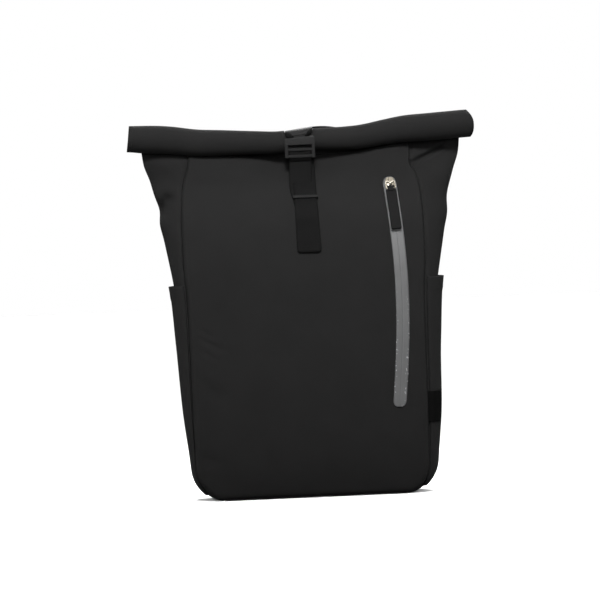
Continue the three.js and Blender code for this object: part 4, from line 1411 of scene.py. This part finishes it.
def strap_end_frame():
    """The adjuster's frame: x across, y up the strap, z out."""
    point, way, side, out = along_shoulder(1)
    axes = Matrix((side, -way, side.cross(-way))).transposed().to_4x4()
    inward = out * -ADJUSTER.inward
    return Matrix.Translation(point + way * ADJUSTER.below + inward) @ axes


def strap_adjuster(word, side):
    """One ladder lock at the end of the padding."""
    lock = ADJUSTER
    across = (-lock.half, -lock.web_half, lock.web_half, lock.half)
    pitch = lock.bar + lock.slot
    rungs = [0, lock.bar, pitch, pitch + lock.bar, 2 * pitch, lock.length]
    along = [-rung for rung in reversed(rungs)]
    mesh = moulded(lambda i, j: Vector((across[i], along[j], 0)), 3, 5, lock.thick, holes={(1, 1), (1, 3)},
                   round_corners=ADJUSTER_ROUND.corner)
    mesh = softened(mesh, ADJUSTER_ROUND.edge)
    matrix = Matrix.Scale(-1, 4, (1, 0, 0)) @ strap_end_frame() if side < 0 else strap_end_frame()
    mesh = in_place(mesh, matrix)
    bmesh.ops.recalc_face_normals(mesh, faces=mesh.faces)
    piece(f"ladder_lock_{word}", mesh, "plastic", [f"strap_adjuster_{word}"], sharp=HARD_ANGLE)


def strap_webbing(word, side):
    """The webbing from one adjuster to the lower corner."""
    point, way, across, _ = along_shoulder(1)
    rise = Vector((0, WEBBING / 2 + 2 * GAP, 0))
    start = point + Vector((0, -SHOULDER.thick - LOWER_WEB.behind, 0)) + way * LOWER_WEB.lead
    foot = back_at(LOWER_WEB.foot_x, LOWER_WEB.foot_z) + rise
    path = smooth_path([
        start,
        start.lerp(foot, LOWER_WEB_BOW.share) + Vector(LOWER_WEB_BOW.move),
        back_at(LOWER_WEB.foot_x + LOWER_WEB_REST.x, LOWER_WEB.foot_z + LOWER_WEB_REST.z) + rise,
        foot,
    ])

    def surface(a, b):
        return path(b) + across * (a - 0.5) * 2 * LOWER_WEB.half
    face = mirrored(surface, side)
    mesh = draped(face, 10, 60)
    piece(f"lower_webbing_{word}", mesh, "webbing", [f"strap_webbing_{word}"], thickness=WEBBING, offset=0)
    stitches(f"lower_stitches_{word}", rows_across(face, LOWER_STITCHES, facing=side))


def white_floor():
    """A floor that looks white to the camera but lights the bag less."""
    mesh = bmesh.new()
    bmesh.ops.create_grid(mesh, x_segments=4, y_segments=4, size=FLOOR.half)
    data = bpy.data.meshes.new("floor")
    mesh.to_mesh(data)
    mesh.free()
    floor = bpy.data.objects.new("floor", data)
    bpy.context.scene.collection.objects.link(floor)
    pale = bpy.data.materials.new("pale floor")
    pale.use_nodes = True
    tree = pale.node_tree
    shader = tree.nodes["Principled BSDF"]
    shader.inputs["Roughness"].default_value = FLOOR.rough
    seen = Socket(tree.nodes.new("ShaderNodeLightPath").outputs["Is Camera Ray"])
    colour = seen.between(grey(FLOOR.given), grey(FLOOR.seen))
    tree.links.new(colour.output, shader.inputs["Base Color"])
    data.materials.append(pale)


def white_surround():
    """A white surround, brighter low down behind the bag."""
    world = bpy.data.worlds.new("surround")
    bpy.context.scene.world = world
    world.use_nodes = True
    tree = world.node_tree
    _, depth, height = Socket(tree.nodes.new("ShaderNodeTexCoord").outputs["Generated"]).parts()
    strength = 0.3 + (1 - height.step(0.12, 0.5)) * (0.1 + depth.step(0, 0.6) * 0.6)
    tree.links.new(strength.output, tree.nodes["Background"].inputs["Strength"])
    tree.nodes["Background"].inputs["Color"].default_value = (1, 1, 1, 1)


def high_light():
    """A wide soft light from overhead and a little behind, even all over the floor."""
    data = bpy.data.lights.new("overhead", "SUN")
    data.energy = OVERHEAD.power
    data.angle = math.radians(OVERHEAD.width)
    light = bpy.data.objects.new("overhead", data)
    light.rotation_euler = (math.radians(OVERHEAD.tilt), 0, 0)
    bpy.context.scene.collection.objects.link(light)


def soft_light(name, place, size, power, spread, aim_z):
    """A square soft light that faces a height of the bag, its beam narrowed to a spread."""
    data = bpy.data.lights.new(name, "AREA")
    data.size = size
    data.energy = power
    data.spread = math.radians(spread)
    light = bpy.data.objects.new(name, data)
    light.location = place
    facing = Vector((0, 0, aim_z)) - light.location
    light.rotation_euler = facing.to_track_quat("-Z", "Y").to_euler()
    bpy.context.scene.collection.objects.link(light)


def camera():
    """The photograph's camera: far off, a little above and to the left, and rolled."""
    view = CAMERA
    data = bpy.data.cameras.new("camera")
    data.sensor_width = 36
    data.lens = data.sensor_width * view.distance / view.frame_width
    yaw, tilt = math.radians(view.yaw), math.radians(view.lift)
    away = Vector((-math.sin(yaw) * math.cos(tilt), -math.cos(yaw) * math.cos(tilt), math.sin(tilt)))
    made = bpy.data.objects.new("camera", data)
    aim = Vector((view.aim_x, 0, view.aim_z)) * MM
    made.location = aim + away * view.distance * MM
    facing = (-away).to_track_quat("-Z", "Y").to_matrix().to_4x4()
    roll = Matrix.Rotation(-math.radians(view.roll), 4, "Z")
    made.rotation_euler = (facing @ roll).to_euler()
    bpy.context.scene.collection.objects.link(made)
    bpy.context.scene.camera = made


camera()
white_floor()
white_surround()
high_light()
for light in LIGHTS:
    soft_light(*light)
bpy.context.scene.view_settings.view_transform = "Standard"

front_panel()
back_panel()
base_panel()
roll_top()
side_label()
zip_tape()
zip_slider()
pull_link()
pull_tab()
buckle_male()
buckle_female()
front_strap()
strap_keeper()
top_strap()
grab_handle()
for word, side in SIDES.items():
    gusset(word, side)
    side_pocket(word, side)
    shoulder_strap(word, side)
    strap_adjuster(word, side)
    strap_webbing(word, side)
